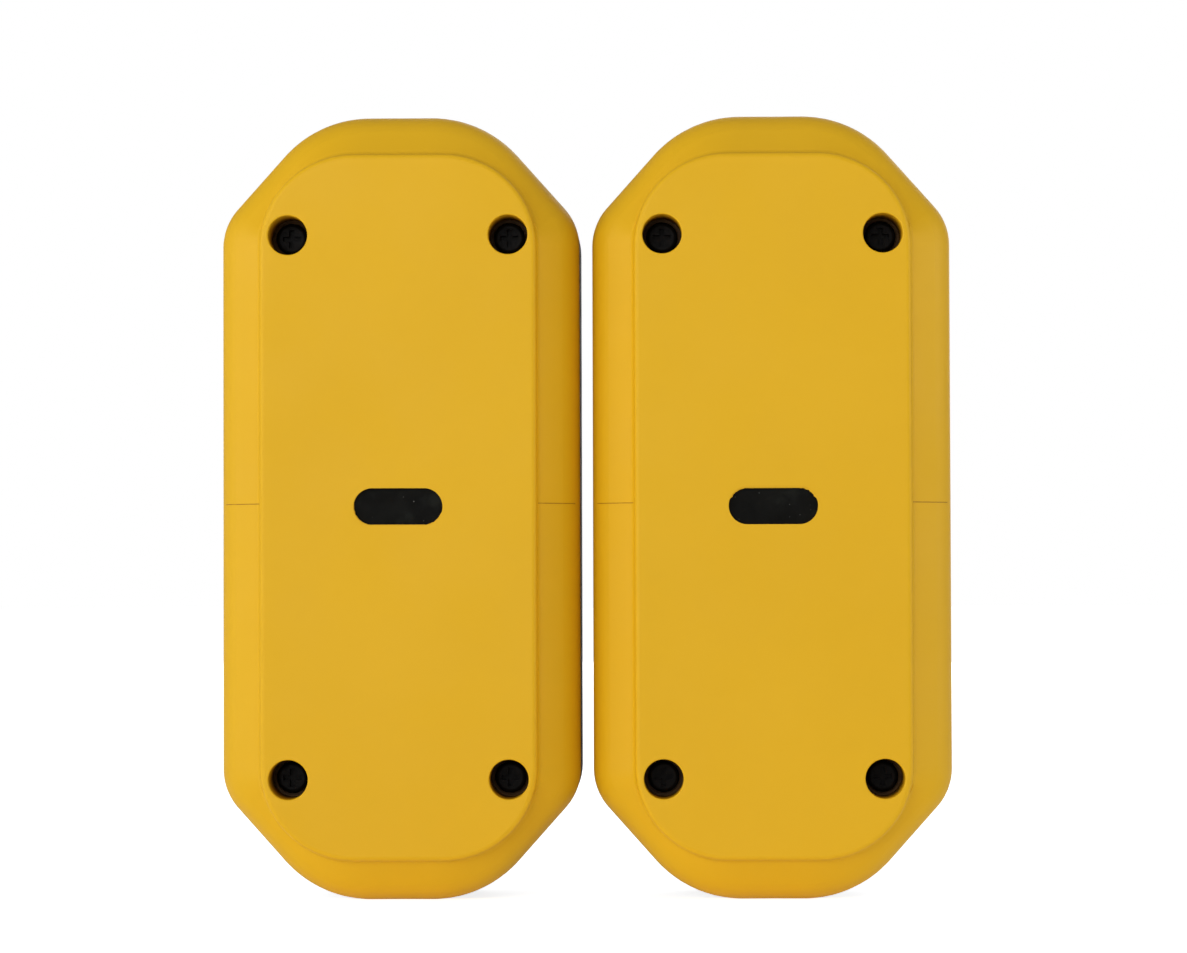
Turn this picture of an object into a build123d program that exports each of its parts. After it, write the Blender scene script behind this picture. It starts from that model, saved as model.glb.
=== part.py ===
from build123d import *
import os

# Circuit breaker finder: a transmitter, which is plugged into the circuit, and a receiver, which finds its
# breaker. Both have the same octagonal case, a yellow back shell on a charcoal front case.
# Millimetres. +Z is up, the yellow backs face -Y, and the origin is midway between the units at their feet.

# ---- Case ----
CASE_W = 64.0
CASE_H = 140.0
CASE_D = 33.0
CUT_W = 17.2            # corner cut, measured across
CUT_H = 19.3            # corner cut, measured up
END_R = 20.5            # rounding where a corner cut meets an end
SIDE_R = 10.3           # rounding where a corner cut meets a side
UNIT_PITCH = 66.3
WALL = 2.5
BACK_D = 11.5           # depth of the yellow back shell
MID_Z = CASE_H / 2
BACK_Y = -CASE_D / 2
FRONT_Y = CASE_D / 2
SPLIT_Y = BACK_Y + BACK_D

# ---- Back shell ----
PAD_W = 49.0
PAD_H = 125.0
PAD_R = 16.5
PAD_EDGE_R = 0.9
PAD_FOOT_R = 1.5
SHOULDER_D = 4.4        # depth of the sharp shoulder before it is rounded
SHOULDER_R = 7.0
FLANK_TAPER = 55.0      # flank's lean from the Y direction
FLANK_D = 5.9
PAD_WALL = 2.4
SLOT_W = 15.8
SLOT_H = 6.6
REVEAL = 0.3            # chamfer each side of the parting line

# ---- Case screws ----
SCREW_PITCH_X = 39.0
SCREW_PITCH_Z = 96.3
WELL_R = 3.5
WELL_D = 10.5
POST_DROP = 1.5         # the back shell's posts reach this far past the parting line
WELL_EDGE_R = 0.25
BOSS_R = 5.2
HEAD_R = 2.8
HEAD_H = 2.2
SHANK_R = 1.45
SHANK_L = 12.0
FRONT_BOSS_R = 3.75
THREAD_GAP = 0.02

# ---- Lip that registers the two shells ----
LIP_T = 1.1
LIP_D = 1.2
LIP_GAP = 0.1

# ---- Hang-up magnet ----
MAGNET_W = 20.0
MAGNET_H = 10.0
MAGNET_T = 3.0
MAGNET_CORNER_R = 1.0
MAGNET_SKIN = 1.0       # wall left over the magnet, which the slot opens
CLIP_W = 34.0
CLIP_H = 8.0
CLIP_T = 1.0
CLIP_FOOT_W = 5.0
CLIP_CORNER_R = 1.5
CLIP_POST_PITCH = 28.0
CLIP_POST_R = 1.5
PAD_INSIDE_Y = BACK_Y + PAD_WALL
MAGNET_BACK_Y = BACK_Y + MAGNET_SKIN
CLIP_Y = MAGNET_BACK_Y + MAGNET_T + 0.05

# ---- Front face ----
FACE_R = 2.6            # rounding of the front case's outer edge
FACE_W = 47.0
FACE_H = 119.0
FACE_CORNER_R = 15.0
FACE_RECESS = 2.3
FACEPLATE_T = 0.5
FACEPLATE_GAP = 0.15
FACE_FLOOR = 1.6
FACE_FLOOR_Y = FRONT_Y - FACE_RECESS
FACE_INSIDE_Y = FACE_FLOOR_Y - FACE_FLOOR
FACEPLATE_Y = FACE_FLOOR_Y + FACEPLATE_T

# ---- Circuit board ----
BOARD_W = 52.0
BOARD_H = 87.0
BOARD_T = 1.6
BOARD_BACK_Y = 6.6
BOARD_FRONT_Y = BOARD_BACK_Y + BOARD_T
BOARD_SCREW_X = 44.0
BOARD_SCREW_Z = 76.0
BOARD_HOLE_R = 1.4
BOARD_SHANK_R = 1.2

# ---- Keys ----
KEY_TRAVEL = 0.7
KEY_R = 6.0
POWER_KEY_R = 8.0
KEY_GAP = 0.2
KEY_FLANGE = 1.3
KEY_FLANGE_T = 0.9
KEY_TOP_Y = FRONT_Y - 0.3
FLANGE_GAP = 0.15
KEY_BACK_Y = FACE_INSIDE_Y - FLANGE_GAP - KEY_FLANGE_T
SWITCH_SIZE = 6.0
SWITCH_H = 2.3
SWITCH_TOP_Y = KEY_BACK_Y - KEY_TRAVEL - 0.05

# ---- Battery ----
CELL_W = 26.5
CELL_D = 17.5
CELL_H = 46.4
CELL_TOP = -10.5        # below the middle of the case
FOAM_W = 24.0
FOAM_H = 38.0
FOAM_T = 1.0
CELL_BACK_Y = PAD_INSIDE_Y + FOAM_T
CELL_Y = CELL_BACK_Y + CELL_D / 2
TERMINAL_X = 6.35
TERMINAL_H = 2.1
LEAD_R = 0.7

# ---- Transmitter ----
JACK_X = 9.5
JACK_Y = 4.6
JACK_R = 5.5
JACK_TOP = 68.2
JACK_L = 22.0
JACK_SHROUD_R = 4.1
JACK_BORE_R = 2.0
JACK_BORE_L = 18.0
CONTACT_R = 2.8
TX_POWER_Z = -6.0
TX_LED_Z = 39.0
TX_LED_PITCH = 9.0
LEVEL_Z = 22.0
LEVEL_TRAVEL = 2.5
LEVEL_GAP = 0.2

# ---- Receiver ----
BAR_COUNT = 7
BAR_PITCH = 4.2
BAR_H = 2.4
BAR_LOW_Z = 15.0
BAR_LOW_W = 10.0
BAR_STEP_W = 2.0
DIAL_Z = -3.0
DIAL_R = 12.0
POT_SHAFT_R = 3.0
KEY_ROW_Z = -24.0
KEY_ROW_X = 11.0
BUZZER_Z = -37.0
BUZZER_R = 6.0
GRILLE_HOLE_R = 0.8
GRILLE_PITCH = 3.0
COIL_Z = 57.0
COIL_Y = 3.0
ROD_R = 4.0
ROD_L = 34.0

# ---- Details ----
EDGE_MARGIN = 0.2        # how far an edge may stray and still be told by its depth
FIT_GAP = 0.05          # clearance of a piece that only sits in another
POCKET_GAP = 0.2        # clearance round the magnet
SHANK_CLEARANCE = 0.25
CAVITY_RIM_D = 3.1
BEZEL_R = 0.6
HEAD_EDGE_R = 0.7
DRIVE_W = 3.2           # cross recess of a case screw
DRIVE_T = 0.9
DRIVE_D = 1.4
BOARD_CORNER_R = 2.0
BOARD_POST_R = 3.0
BOARD_HEAD_R = 2.25
BOARD_HEAD_H = 1.6
BOARD_SHANK_L = 5.0
TIP_ROOM = 0.3           # depth left past a board screw's tip
KEY_EDGE_R = 0.6
DISH_R = 40.0
DISH_D = 0.35
SWITCH_PLUNGER_R = 1.75
CHIP_X = 18.0
CHIP_Z = -3.0
CHIP_T = 1.4
CONTROLLER_SIZE = 9.0
AMPLIFIER_L = 5.0
AMPLIFIER_W = 4.0
CRYSTAL_L = 8.0
CRYSTAL_W = 3.5
CELL_CORNER_R = 2.5
CELL_EDGE_R = 0.6
FOAM_CORNER_R = 1.0
MALE_R = 2.85
FEMALE_R = 3.95
SNAP_W = 25.5
SNAP_D = 12.5
SNAP_H = 4.9
SNAP_CORNER_R = 4.0
SNAP_EDGE_R = 1.0
LEAD_BEND_R = 4.4
LEAD_FROM_X = 4.0
LEAD_TO_X = 17.0
LEAD_RISE = 9.6
LEAD_TOP = 11.1
JACK_EDGE_R = 0.4
JACK_SHROUD_D = 20.2
JACK_SLEEVE_SET = 2.0   # the sleeve stands below the insulator's rim, out of a finger's reach
TAIL_W = 2.0
TAIL_END_Z = 40.8
PIPE_R = 1.6
PIPE_BACK_Y = 11.6
PIPE_TOP_Y = FACEPLATE_Y + 0.3
PIPE_EDGE_R = 0.5
PIPE_FLANGE = 0.9
LED_R = 1.5
LED_DOME_R = 1.1
LAMP_GAP = 0.1
LEVEL_KNOB_W = 6.0
LEVEL_KNOB_H = 5.0
LEVEL_SKIRT_W = 15.0
LEVEL_SKIRT_H = 7.4
LEVEL_CORNER_R = 0.8
KNOB_SKIRT_Y = 11.5
STEM_W = 2.0
STEM_END_Y = 9.4
STEM_GAP = 0.2
LEVEL_SWITCH_Y = 11.2
LEVEL_SWITCH_W = 13.0
LEVEL_SWITCH_H = 6.0
RIB_PITCH = 1.6
RIB_GROOVE_W = 0.7
RIB_GROOVE_D = 0.6
CORE_Y = 5.1
CORE_Z = 20.0
CORE_W = 20.0
CORE_H = 18.0
CORE_T = 8.0
CORE_LEG_W = 6.0
CORE_WINDOW_W = 4.5
CORE_WINDOW_H = 12.0
WINDING_GAP = 0.2
WINDING_W = CORE_LEG_W + 2 * (CORE_WINDOW_W - WINDING_GAP)
WINDING_D = CORE_T + 2 * (BOARD_BACK_Y - CORE_Y)
WINDING_CORNER_R = 1.5
FUSE_L = 20.0
FUSE_R = 2.6
FUSE_GLASS_R = 2.45
FUSE_CAP_L = 5.0
FUSE_Y = 3.2
FUSE_Z = 35.5
FUSE_CLIP_W = 3.5
FUSE_CLIP_H = 6.4
FUSE_CLIP_GRIP = 1.5     # the clips reach this far past the fuse's axis
BAR_BACK_Y = 11.5
BAR_TOP_Y = FACEPLATE_Y + 0.1
BAR_FLANGE_X = 0.7
BAR_FLANGE_Z = 0.6
CHIP_LED_W = 3.2
CHIP_LED_H = 1.6
CHIP_LED_T = 1.1
DIAL_BACK_Y = FACEPLATE_Y + 0.3
DIAL_DISC_T = 0.75
DIAL_TOP_Y = FRONT_Y - 0.1
DIAL_NOTCHES = 30
DIAL_NOTCH_R = 0.9
DIAL_NOTCH_CIRCLE_R = 12.5
DIAL_BAR_W = 6.0
DIAL_BAR_L = 20.0
DIAL_BAR_END_R = 2.9
DIAL_BAR_EDGE_R = 0.4
SHAFT_END_Y = DIAL_BACK_Y + 0.9
SHAFT_FOOT_Y = BOARD_FRONT_Y + 0.2
SHAFT_HOLE_GAP = 0.4
POT_SIZE = 12.0
POT_T = 4.0
POT_CORNER_R = 1.0
BUZZER_T = 4.0
BUZZER_EDGE_R = 0.5
SOUND_HOLE_R = 1.0
SOUND_HOLE_D = 1.0
ROD_CHAMFER = 0.4
COIL_R = 6.0
COIL_L = 18.0
CRADLE_PITCH = 27.0
CRADLE_T = 3.0
CRADLE_RIM = 1.5
COIL_WIRE_R = 0.3
COIL_LEAD_X = 5.0
COIL_LEAD_SAG = 2.0
COIL_LEAD_Z = 40.0
COIL_LEAD_BEND_R = 2.0

LEFT_X = -UNIT_PITCH / 2
RIGHT_X = UNIT_PITCH / 2

os.makedirs("parts", exist_ok=True)


def save(piece, label):
    piece.part.label = label
    export_step(piece.part, f"parts/{label}.step")


def back_plane(x, y, z=0.0):
    """Plane across a unit that faces -Y. Its x runs along +X and its y runs up from the unit's middle."""
    return Plane(origin=(x, y, MID_Z + z), x_dir=(1, 0, 0), z_dir=(0, -1, 0))


def level_plane(x, y, z):
    """Plane that faces up, z above the unit's middle."""
    return Plane(origin=(x, y, MID_Z + z), x_dir=(1, 0, 0), z_dir=(0, 0, 1))


def side_plane(x, y, z):
    """Plane that faces +X, with its x along +Y and its y upward."""
    return Plane(origin=(x, y, MID_Z + z), x_dir=(0, 1, 0), z_dir=(1, 0, 0))


def case_outline(inset=0.0):
    """Octagon of the case, rounded at every corner, then moved in by inset."""
    half_w = CASE_W / 2
    half_h = CASE_H / 2
    with BuildSketch() as outline:
        with BuildLine():
            Polyline(
                (half_w, CUT_H - half_h),
                (half_w, half_h - CUT_H),
                (half_w - CUT_W, half_h),
                (CUT_W - half_w, half_h),
                (-half_w, half_h - CUT_H),
                (-half_w, CUT_H - half_h),
                (CUT_W - half_w, -half_h),
                (half_w - CUT_W, -half_h),
                close=True,
            )
        make_face()
        fillet(outline.vertices().filter_by(lambda corner: abs(corner.Y) > half_h - 1), END_R)
        fillet(outline.vertices().filter_by(lambda corner: abs(corner.X) > half_w - 0.01 and
               abs(corner.Y) > half_h - CUT_H - 0.01), SIDE_R)
        if inset:
            offset(amount=-inset, kind=Kind.ARC)
    return outline.sketch


def bar_width(index):
    """Width of the receiver's light bar, narrowest at the bottom."""
    return BAR_LOW_W + BAR_STEP_W * index


# ---- Openings in the front faces ----

def tx_face_openings():
    """Transmitter: power key, level switch window and three round light pipes."""
    with BuildSketch() as openings:
        with Locations((0, TX_POWER_Z)):
            Circle(POWER_KEY_R + KEY_GAP)
        with Locations((0, LEVEL_Z)):
            RectangleRounded(
                LEVEL_KNOB_W + LEVEL_TRAVEL + 2 * LEVEL_GAP, LEVEL_KNOB_H + 2 * LEVEL_GAP, LEVEL_CORNER_R)
        with Locations((0, TX_LED_Z)):
            with GridLocations(TX_LED_PITCH, 0, 3, 1):
                Circle(PIPE_R + FIT_GAP)
    return openings.sketch


def rx_face_openings():
    """Receiver: seven light bars, the dial's shaft, two keys and the buzzer's grille."""
    with BuildSketch() as openings:
        for index in range(BAR_COUNT):
            with Locations((0, BAR_LOW_Z + BAR_PITCH * index)):
                Rectangle(bar_width(index), BAR_H)
        with Locations((0, DIAL_Z)):
            Circle(POT_SHAFT_R + SHAFT_HOLE_GAP)
        with Locations((-KEY_ROW_X, KEY_ROW_Z), (KEY_ROW_X, KEY_ROW_Z)):
            Circle(KEY_R + KEY_GAP)
        with Locations((0, BUZZER_Z)):
            Circle(GRILLE_HOLE_R)
            with PolarLocations(GRILLE_PITCH, 6):
                Circle(GRILLE_HOLE_R)
    return openings.sketch


# ---- Pieces that both units have ----

def depth_span(edge):
    """Least and greatest distance of an edge behind the parting line."""
    box = edge.bounding_box()
    return SPLIT_Y - box.max.Y, SPLIT_Y - box.min.Y


def is_pad_foot(edge):
    nearest, farthest = depth_span(edge)
    return nearest > SHOULDER_D + EDGE_MARGIN and farthest < BACK_D - EDGE_MARGIN


def is_shoulder(edge):
    nearest, farthest = depth_span(edge)
    return abs(nearest - SHOULDER_D) < 0.01 and abs(farthest - SHOULDER_D) < 0.01


def is_well_mouth(edge):
    return abs(edge.radius - WELL_R) < 0.01 and abs(edge.center().Y - BACK_Y) < 0.01


def back_shell(x):
    """Yellow moulded shell: rim, sloping flanks, raised pad, four screw wells and the hang-up slot."""
    with BuildPart() as shell:
        with BuildSketch(back_plane(x, SPLIT_Y)):
            add(case_outline())
        extrude(amount=SHOULDER_D)
        with BuildSketch(back_plane(x, SPLIT_Y - SHOULDER_D)):
            add(case_outline())
        extrude(amount=FLANK_D, taper=FLANK_TAPER)
        with BuildSketch(back_plane(x, SPLIT_Y)):
            RectangleRounded(PAD_W, PAD_H, PAD_R)
        extrude(amount=BACK_D)
        fillet(shell.edges().filter_by(is_pad_foot), PAD_FOOT_R)
        fillet(shell.edges().filter_by(is_shoulder), SHOULDER_R)
        fillet(shell.faces().sort_by(Axis.Y)[0].outer_wire().edges(), PAD_EDGE_R)
        chamfer(shell.faces().sort_by(Axis.Y)[-1].outer_wire().edges(), REVEAL)

        # Hollow: a straight rim, then a cone that follows the flank
        with BuildSketch(back_plane(x, SPLIT_Y)):
            add(case_outline(WALL))
        extrude(amount=CAVITY_RIM_D, mode=Mode.SUBTRACT)
        with BuildSketch(back_plane(x, SPLIT_Y - CAVITY_RIM_D)):
            add(case_outline(WALL))
        extrude(amount=BACK_D - PAD_WALL - CAVITY_RIM_D, taper=FLANK_TAPER, mode=Mode.SUBTRACT)

        # Rebate for the front case's lip
        with BuildSketch(back_plane(x, SPLIT_Y)):
            add(case_outline(WALL - LIP_T - LIP_GAP))
        extrude(amount=LIP_D + LIP_GAP, mode=Mode.SUBTRACT)

        # Screw posts, then the wells and shank holes through them
        with BuildSketch(back_plane(x, SPLIT_Y + POST_DROP)):
            with GridLocations(SCREW_PITCH_X, SCREW_PITCH_Z, 2, 2):
                Circle(BOSS_R)
        extrude(amount=BACK_D - PAD_WALL + POST_DROP)
        with Locations(back_plane(x, BACK_Y)):
            with GridLocations(SCREW_PITCH_X, SCREW_PITCH_Z, 2, 2):
                CounterBoreHole(SHANK_R + SHANK_CLEARANCE, WELL_R, WELL_D)
        mouths = shell.edges().filter_by(GeomType.CIRCLE).filter_by(is_well_mouth)
        fillet(mouths, WELL_EDGE_R)

        # Magnet pocket, the slot that shows the magnet, and two posts for its clip
        with BuildSketch(back_plane(x, PAD_INSIDE_Y)):
            RectangleRounded(MAGNET_W + 2 * POCKET_GAP, MAGNET_H + 2 * POCKET_GAP, MAGNET_CORNER_R)
        extrude(amount=PAD_WALL - MAGNET_SKIN, mode=Mode.SUBTRACT)
        with BuildSketch(back_plane(x, BACK_Y)):
            SlotOverall(SLOT_W, SLOT_H)
        extrude(amount=-MAGNET_SKIN, mode=Mode.SUBTRACT)
        with BuildSketch(back_plane(x, CLIP_Y + CLIP_T)):
            with GridLocations(CLIP_POST_PITCH, 0, 2, 1):
                Circle(CLIP_POST_R)
        extrude(amount=CLIP_Y + CLIP_T - PAD_INSIDE_Y)
    return shell


def front_case(x, face_openings):
    """Charcoal moulded tray: walls, recessed face, screw bosses, board posts and the lip."""
    with BuildPart() as case:
        with BuildSketch(back_plane(x, SPLIT_Y)):
            add(case_outline())
        extrude(amount=SPLIT_Y - FRONT_Y)
        fillet(case.faces().sort_by(Axis.Y)[-1].outer_wire().edges(), FACE_R)
        chamfer(case.faces().sort_by(Axis.Y)[0].outer_wire().edges(), REVEAL)
        with BuildSketch(back_plane(x, SPLIT_Y)):
            add(case_outline(WALL))
        extrude(amount=SPLIT_Y - FACE_INSIDE_Y, mode=Mode.SUBTRACT)
        with BuildSketch(back_plane(x, FRONT_Y)):
            RectangleRounded(FACE_W, FACE_H, FACE_CORNER_R)
        extrude(amount=FACE_RECESS, mode=Mode.SUBTRACT)
        bezel = case.faces().filter_by(Axis.Y).sort_by(Axis.Y)[-1]
        fillet(bezel.inner_wires()[0].edges(), BEZEL_R)

        # Lip that stands into the back shell
        with BuildSketch(back_plane(x, SPLIT_Y)):
            add(case_outline(WALL - LIP_T))
            add(case_outline(WALL), mode=Mode.SUBTRACT)
        extrude(amount=LIP_D)

        # Bosses for the case screws and posts for the board
        with BuildSketch(back_plane(x, FACE_INSIDE_Y)):
            with GridLocations(SCREW_PITCH_X, SCREW_PITCH_Z, 2, 2):
                Circle(FRONT_BOSS_R)
        extrude(amount=FACE_INSIDE_Y - SPLIT_Y - POST_DROP)
        with BuildSketch(back_plane(x, FACE_INSIDE_Y)):
            with GridLocations(BOARD_SCREW_X, BOARD_SCREW_Z, 2, 2):
                Circle(BOARD_POST_R)
        extrude(amount=FACE_INSIDE_Y - BOARD_FRONT_Y)
        with Locations(back_plane(x, SPLIT_Y + POST_DROP)):
            with GridLocations(SCREW_PITCH_X, SCREW_PITCH_Z, 2, 2):
                Hole(SHANK_R + THREAD_GAP, SHANK_L - BACK_D + WELL_D)
        with Locations(back_plane(x, BOARD_FRONT_Y)):
            with GridLocations(BOARD_SCREW_X, BOARD_SCREW_Z, 2, 2):
                Hole(BOARD_SHANK_R + THREAD_GAP, BOARD_SHANK_L - BOARD_T + TIP_ROOM)

        # Openings through the recessed face
        with BuildSketch(back_plane(x, FRONT_Y)):
            add(face_openings)
        extrude(amount=FRONT_Y - FACE_INSIDE_Y, mode=Mode.SUBTRACT)
    return case


def transmitter_case(x):
    """The transmitter's front case also has two round holes in its top end for the test jacks."""
    with BuildPart() as case:
        add(front_case(x, tx_face_openings()).part)
        with BuildSketch(level_plane(x, JACK_Y, JACK_TOP - JACK_L)):
            with GridLocations(2 * JACK_X, 0, 2, 1):
                Circle(JACK_R + FIT_GAP)
        extrude(amount=2 * JACK_L, mode=Mode.SUBTRACT)
    return case


def case_screws(x):
    """Four self-tapping screws with recessed pan heads."""
    seat_y = BACK_Y + WELL_D
    with BuildPart() as screws:
        with BuildSketch(back_plane(x, seat_y)):
            with GridLocations(SCREW_PITCH_X, SCREW_PITCH_Z, 2, 2):
                Circle(HEAD_R)
        extrude(amount=HEAD_H)
        fillet(screws.faces().sort_by(Axis.Y)[0:4].edges(), HEAD_EDGE_R)
        with BuildSketch(back_plane(x, seat_y - HEAD_H)):
            with GridLocations(SCREW_PITCH_X, SCREW_PITCH_Z, 2, 2):
                Rectangle(DRIVE_W, DRIVE_T)
                Rectangle(DRIVE_T, DRIVE_W)
        extrude(amount=-DRIVE_D, mode=Mode.SUBTRACT)
        with BuildSketch(back_plane(x, seat_y)):
            with GridLocations(SCREW_PITCH_X, SCREW_PITCH_Z, 2, 2):
                Circle(SHANK_R)
        extrude(amount=-SHANK_L)
    return screws


def bar_magnet(x):
    """Coated ferrite bar behind the slot."""
    with BuildPart() as magnet:
        with BuildSketch(back_plane(x, MAGNET_BACK_Y)):
            RectangleRounded(MAGNET_W, MAGNET_H, MAGNET_CORNER_R)
        extrude(amount=-MAGNET_T)
    return magnet


def magnet_clip(x):
    """Moulded bridge over the magnet, staked on two posts."""
    with BuildPart() as clip:
        with BuildSketch(back_plane(x, CLIP_Y)):
            RectangleRounded(CLIP_W, CLIP_H, CLIP_CORNER_R)
        extrude(amount=-CLIP_T)
        with BuildSketch(back_plane(x, CLIP_Y)):
            with GridLocations(CLIP_POST_PITCH, 0, 2, 1):
                RectangleRounded(CLIP_FOOT_W, CLIP_H, CLIP_CORNER_R)
        extrude(amount=CLIP_Y - PAD_INSIDE_Y)
        with BuildSketch(back_plane(x, CLIP_Y + CLIP_T)):
            with GridLocations(CLIP_POST_PITCH, 0, 2, 1):
                Circle(CLIP_POST_R + FIT_GAP)
        extrude(amount=CLIP_Y + CLIP_T - PAD_INSIDE_Y, mode=Mode.SUBTRACT)
    return clip


def faceplate(x, face_openings):
    """Polycarbonate overlay in the front recess."""
    with BuildPart() as plate:
        with BuildSketch(back_plane(x, FACE_FLOOR_Y)):
            RectangleRounded(
                FACE_W - 2 * FACEPLATE_GAP, FACE_H - 2 * FACEPLATE_GAP, FACE_CORNER_R - FACEPLATE_GAP)
            add(face_openings, mode=Mode.SUBTRACT)
        extrude(amount=-FACEPLATE_T)
    return plate


def round_key(x, z, radius):
    """Sprung key: a dished cap with a flange that the face holds in."""
    with BuildPart() as key:
        with BuildSketch(back_plane(x, KEY_BACK_Y, z)):
            Circle(radius + KEY_FLANGE)
        extrude(amount=-KEY_FLANGE_T)
        with BuildSketch(back_plane(x, KEY_BACK_Y, z)):
            Circle(radius)
        extrude(amount=KEY_BACK_Y - KEY_TOP_Y)
        fillet(key.faces().sort_by(Axis.Y)[-1].edges(), KEY_EDGE_R)
        with Locations(back_plane(x, KEY_TOP_Y + DISH_R - DISH_D, z)):
            Sphere(DISH_R, mode=Mode.SUBTRACT)
    return key


def circuit_board(x):
    """Glass-fibre board with its four screw holes."""
    with BuildPart() as board:
        with BuildSketch(back_plane(x, BOARD_BACK_Y)):
            RectangleRounded(BOARD_W, BOARD_H, BOARD_CORNER_R)
            with GridLocations(BOARD_SCREW_X, BOARD_SCREW_Z, 2, 2):
                Circle(BOARD_HOLE_R, mode=Mode.SUBTRACT)
        extrude(amount=-BOARD_T)
    return board


def board_screws(x):
    """Four small self-tapping screws that hold the board to its posts."""
    with BuildPart() as screws:
        with BuildSketch(back_plane(x, BOARD_BACK_Y)):
            with GridLocations(BOARD_SCREW_X, BOARD_SCREW_Z, 2, 2):
                Circle(BOARD_HEAD_R)
        extrude(amount=BOARD_HEAD_H)
        with BuildSketch(back_plane(x, BOARD_BACK_Y)):
            with GridLocations(BOARD_SCREW_X, BOARD_SCREW_Z, 2, 2):
                Circle(BOARD_SHANK_R)
        extrude(amount=-BOARD_SHANK_L)
    return screws


def key_switches(x, places):
    """Tact switches on the board, one under each key."""
    with BuildPart() as switches:
        with BuildSketch(back_plane(x, BOARD_FRONT_Y)):
            with Locations(*places):
                Rectangle(SWITCH_SIZE, SWITCH_SIZE)
        extrude(amount=-SWITCH_H)
        with BuildSketch(back_plane(x, BOARD_FRONT_Y)):
            with Locations(*places):
                Circle(SWITCH_PLUNGER_R)
        extrude(amount=BOARD_FRONT_Y - SWITCH_TOP_Y)
    return switches


def board_chips(x):
    """Controller, two amplifiers and a crystal on the front of the board."""
    with BuildPart() as chips:
        with BuildSketch(back_plane(x, BOARD_FRONT_Y)):
            with Locations((CHIP_X, CHIP_Z)):
                Rectangle(CONTROLLER_SIZE, CONTROLLER_SIZE)
            with Locations((-CHIP_X, CHIP_Z + AMPLIFIER_W), (-CHIP_X, CHIP_Z - AMPLIFIER_W)):
                Rectangle(AMPLIFIER_L, AMPLIFIER_W)
            with Locations((CHIP_X, CHIP_Z - CONTROLLER_SIZE)):
                SlotOverall(CRYSTAL_L, CRYSTAL_W)
        extrude(amount=-CHIP_T)
    return chips


def battery(x):
    """Nine-volt block with its two snap terminals."""
    with BuildPart() as cell:
        with BuildSketch(level_plane(x, CELL_Y, CELL_TOP)):
            RectangleRounded(CELL_W, CELL_D, CELL_CORNER_R)
        extrude(amount=-CELL_H)
        fillet(cell.faces().filter_by(Axis.Z).edges(), CELL_EDGE_R)
        with BuildSketch(level_plane(x - TERMINAL_X, CELL_Y, CELL_TOP)):
            Circle(MALE_R)
        extrude(amount=TERMINAL_H)
        with BuildSketch(level_plane(x + TERMINAL_X, CELL_Y, CELL_TOP)):
            Circle(FEMALE_R)
            Circle(MALE_R + FIT_GAP, mode=Mode.SUBTRACT)
        extrude(amount=TERMINAL_H)
    return cell


def battery_snap(x):
    """Moulded snap connector that presses on the battery's terminals."""
    with BuildPart() as snap:
        with BuildSketch(level_plane(x, CELL_Y, CELL_TOP)):
            RectangleRounded(SNAP_W, SNAP_D, SNAP_CORNER_R)
        extrude(amount=SNAP_H)
        fillet(snap.faces().sort_by(Axis.Z)[-1].edges(), SNAP_EDGE_R)
        with BuildSketch(level_plane(x, CELL_Y, CELL_TOP)):
            with GridLocations(2 * TERMINAL_X, 0, 2, 1):
                Circle(FEMALE_R + FIT_GAP)
        extrude(amount=TERMINAL_H + FIT_GAP, mode=Mode.SUBTRACT)
    return snap


def battery_lead(x, side):
    """Insulated wire from the snap connector, out to one side and onto the back of the board."""
    snap_top = MID_Z + CELL_TOP + SNAP_H
    route = [
        (x + side * LEAD_FROM_X, CELL_Y, snap_top),
        (x + side * LEAD_FROM_X, CELL_Y, snap_top + LEAD_RISE),
        (x + side * LEAD_TO_X, CELL_Y, snap_top + LEAD_TOP),
        (x + side * LEAD_TO_X, BOARD_BACK_Y, snap_top + LEAD_TOP),
    ]
    with BuildPart() as lead:
        with BuildLine() as path:
            FilletPolyline(*route, radius=LEAD_BEND_R)
        with BuildSketch(Plane(origin=path.line @ 0, z_dir=path.line % 0)):
            Circle(LEAD_R)
        sweep(path=path.line)
    return lead


def battery_pad(x):
    """Foam pad between the back shell and the battery."""
    with BuildPart() as foam:
        with BuildSketch(back_plane(x, PAD_INSIDE_Y, CELL_TOP - CELL_H / 2)):
            RectangleRounded(FOAM_W, FOAM_H, FOAM_CORNER_R)
        extrude(amount=-FOAM_T)
    return foam


# ---- Transmitter ----

def jack_body(x):
    """Moulded insulator of a shrouded 4 mm jack, open at the top."""
    with BuildPart() as insulator:
        with BuildSketch(level_plane(x, JACK_Y, JACK_TOP)):
            Circle(JACK_R)
        extrude(amount=-JACK_L)
        fillet(insulator.edges().sort_by(Axis.Z)[-1], JACK_EDGE_R)
        with BuildSketch(level_plane(x, JACK_Y, JACK_TOP)):
            Circle(JACK_SHROUD_R)
        extrude(amount=-JACK_SHROUD_D, mode=Mode.SUBTRACT)
        with BuildSketch(level_plane(x, JACK_Y, JACK_TOP - JACK_SHROUD_D)):
            Rectangle(TAIL_W + 2 * FIT_GAP, TAIL_W + 2 * FIT_GAP)
        extrude(amount=-JACK_L, mode=Mode.SUBTRACT)
    return insulator


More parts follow.
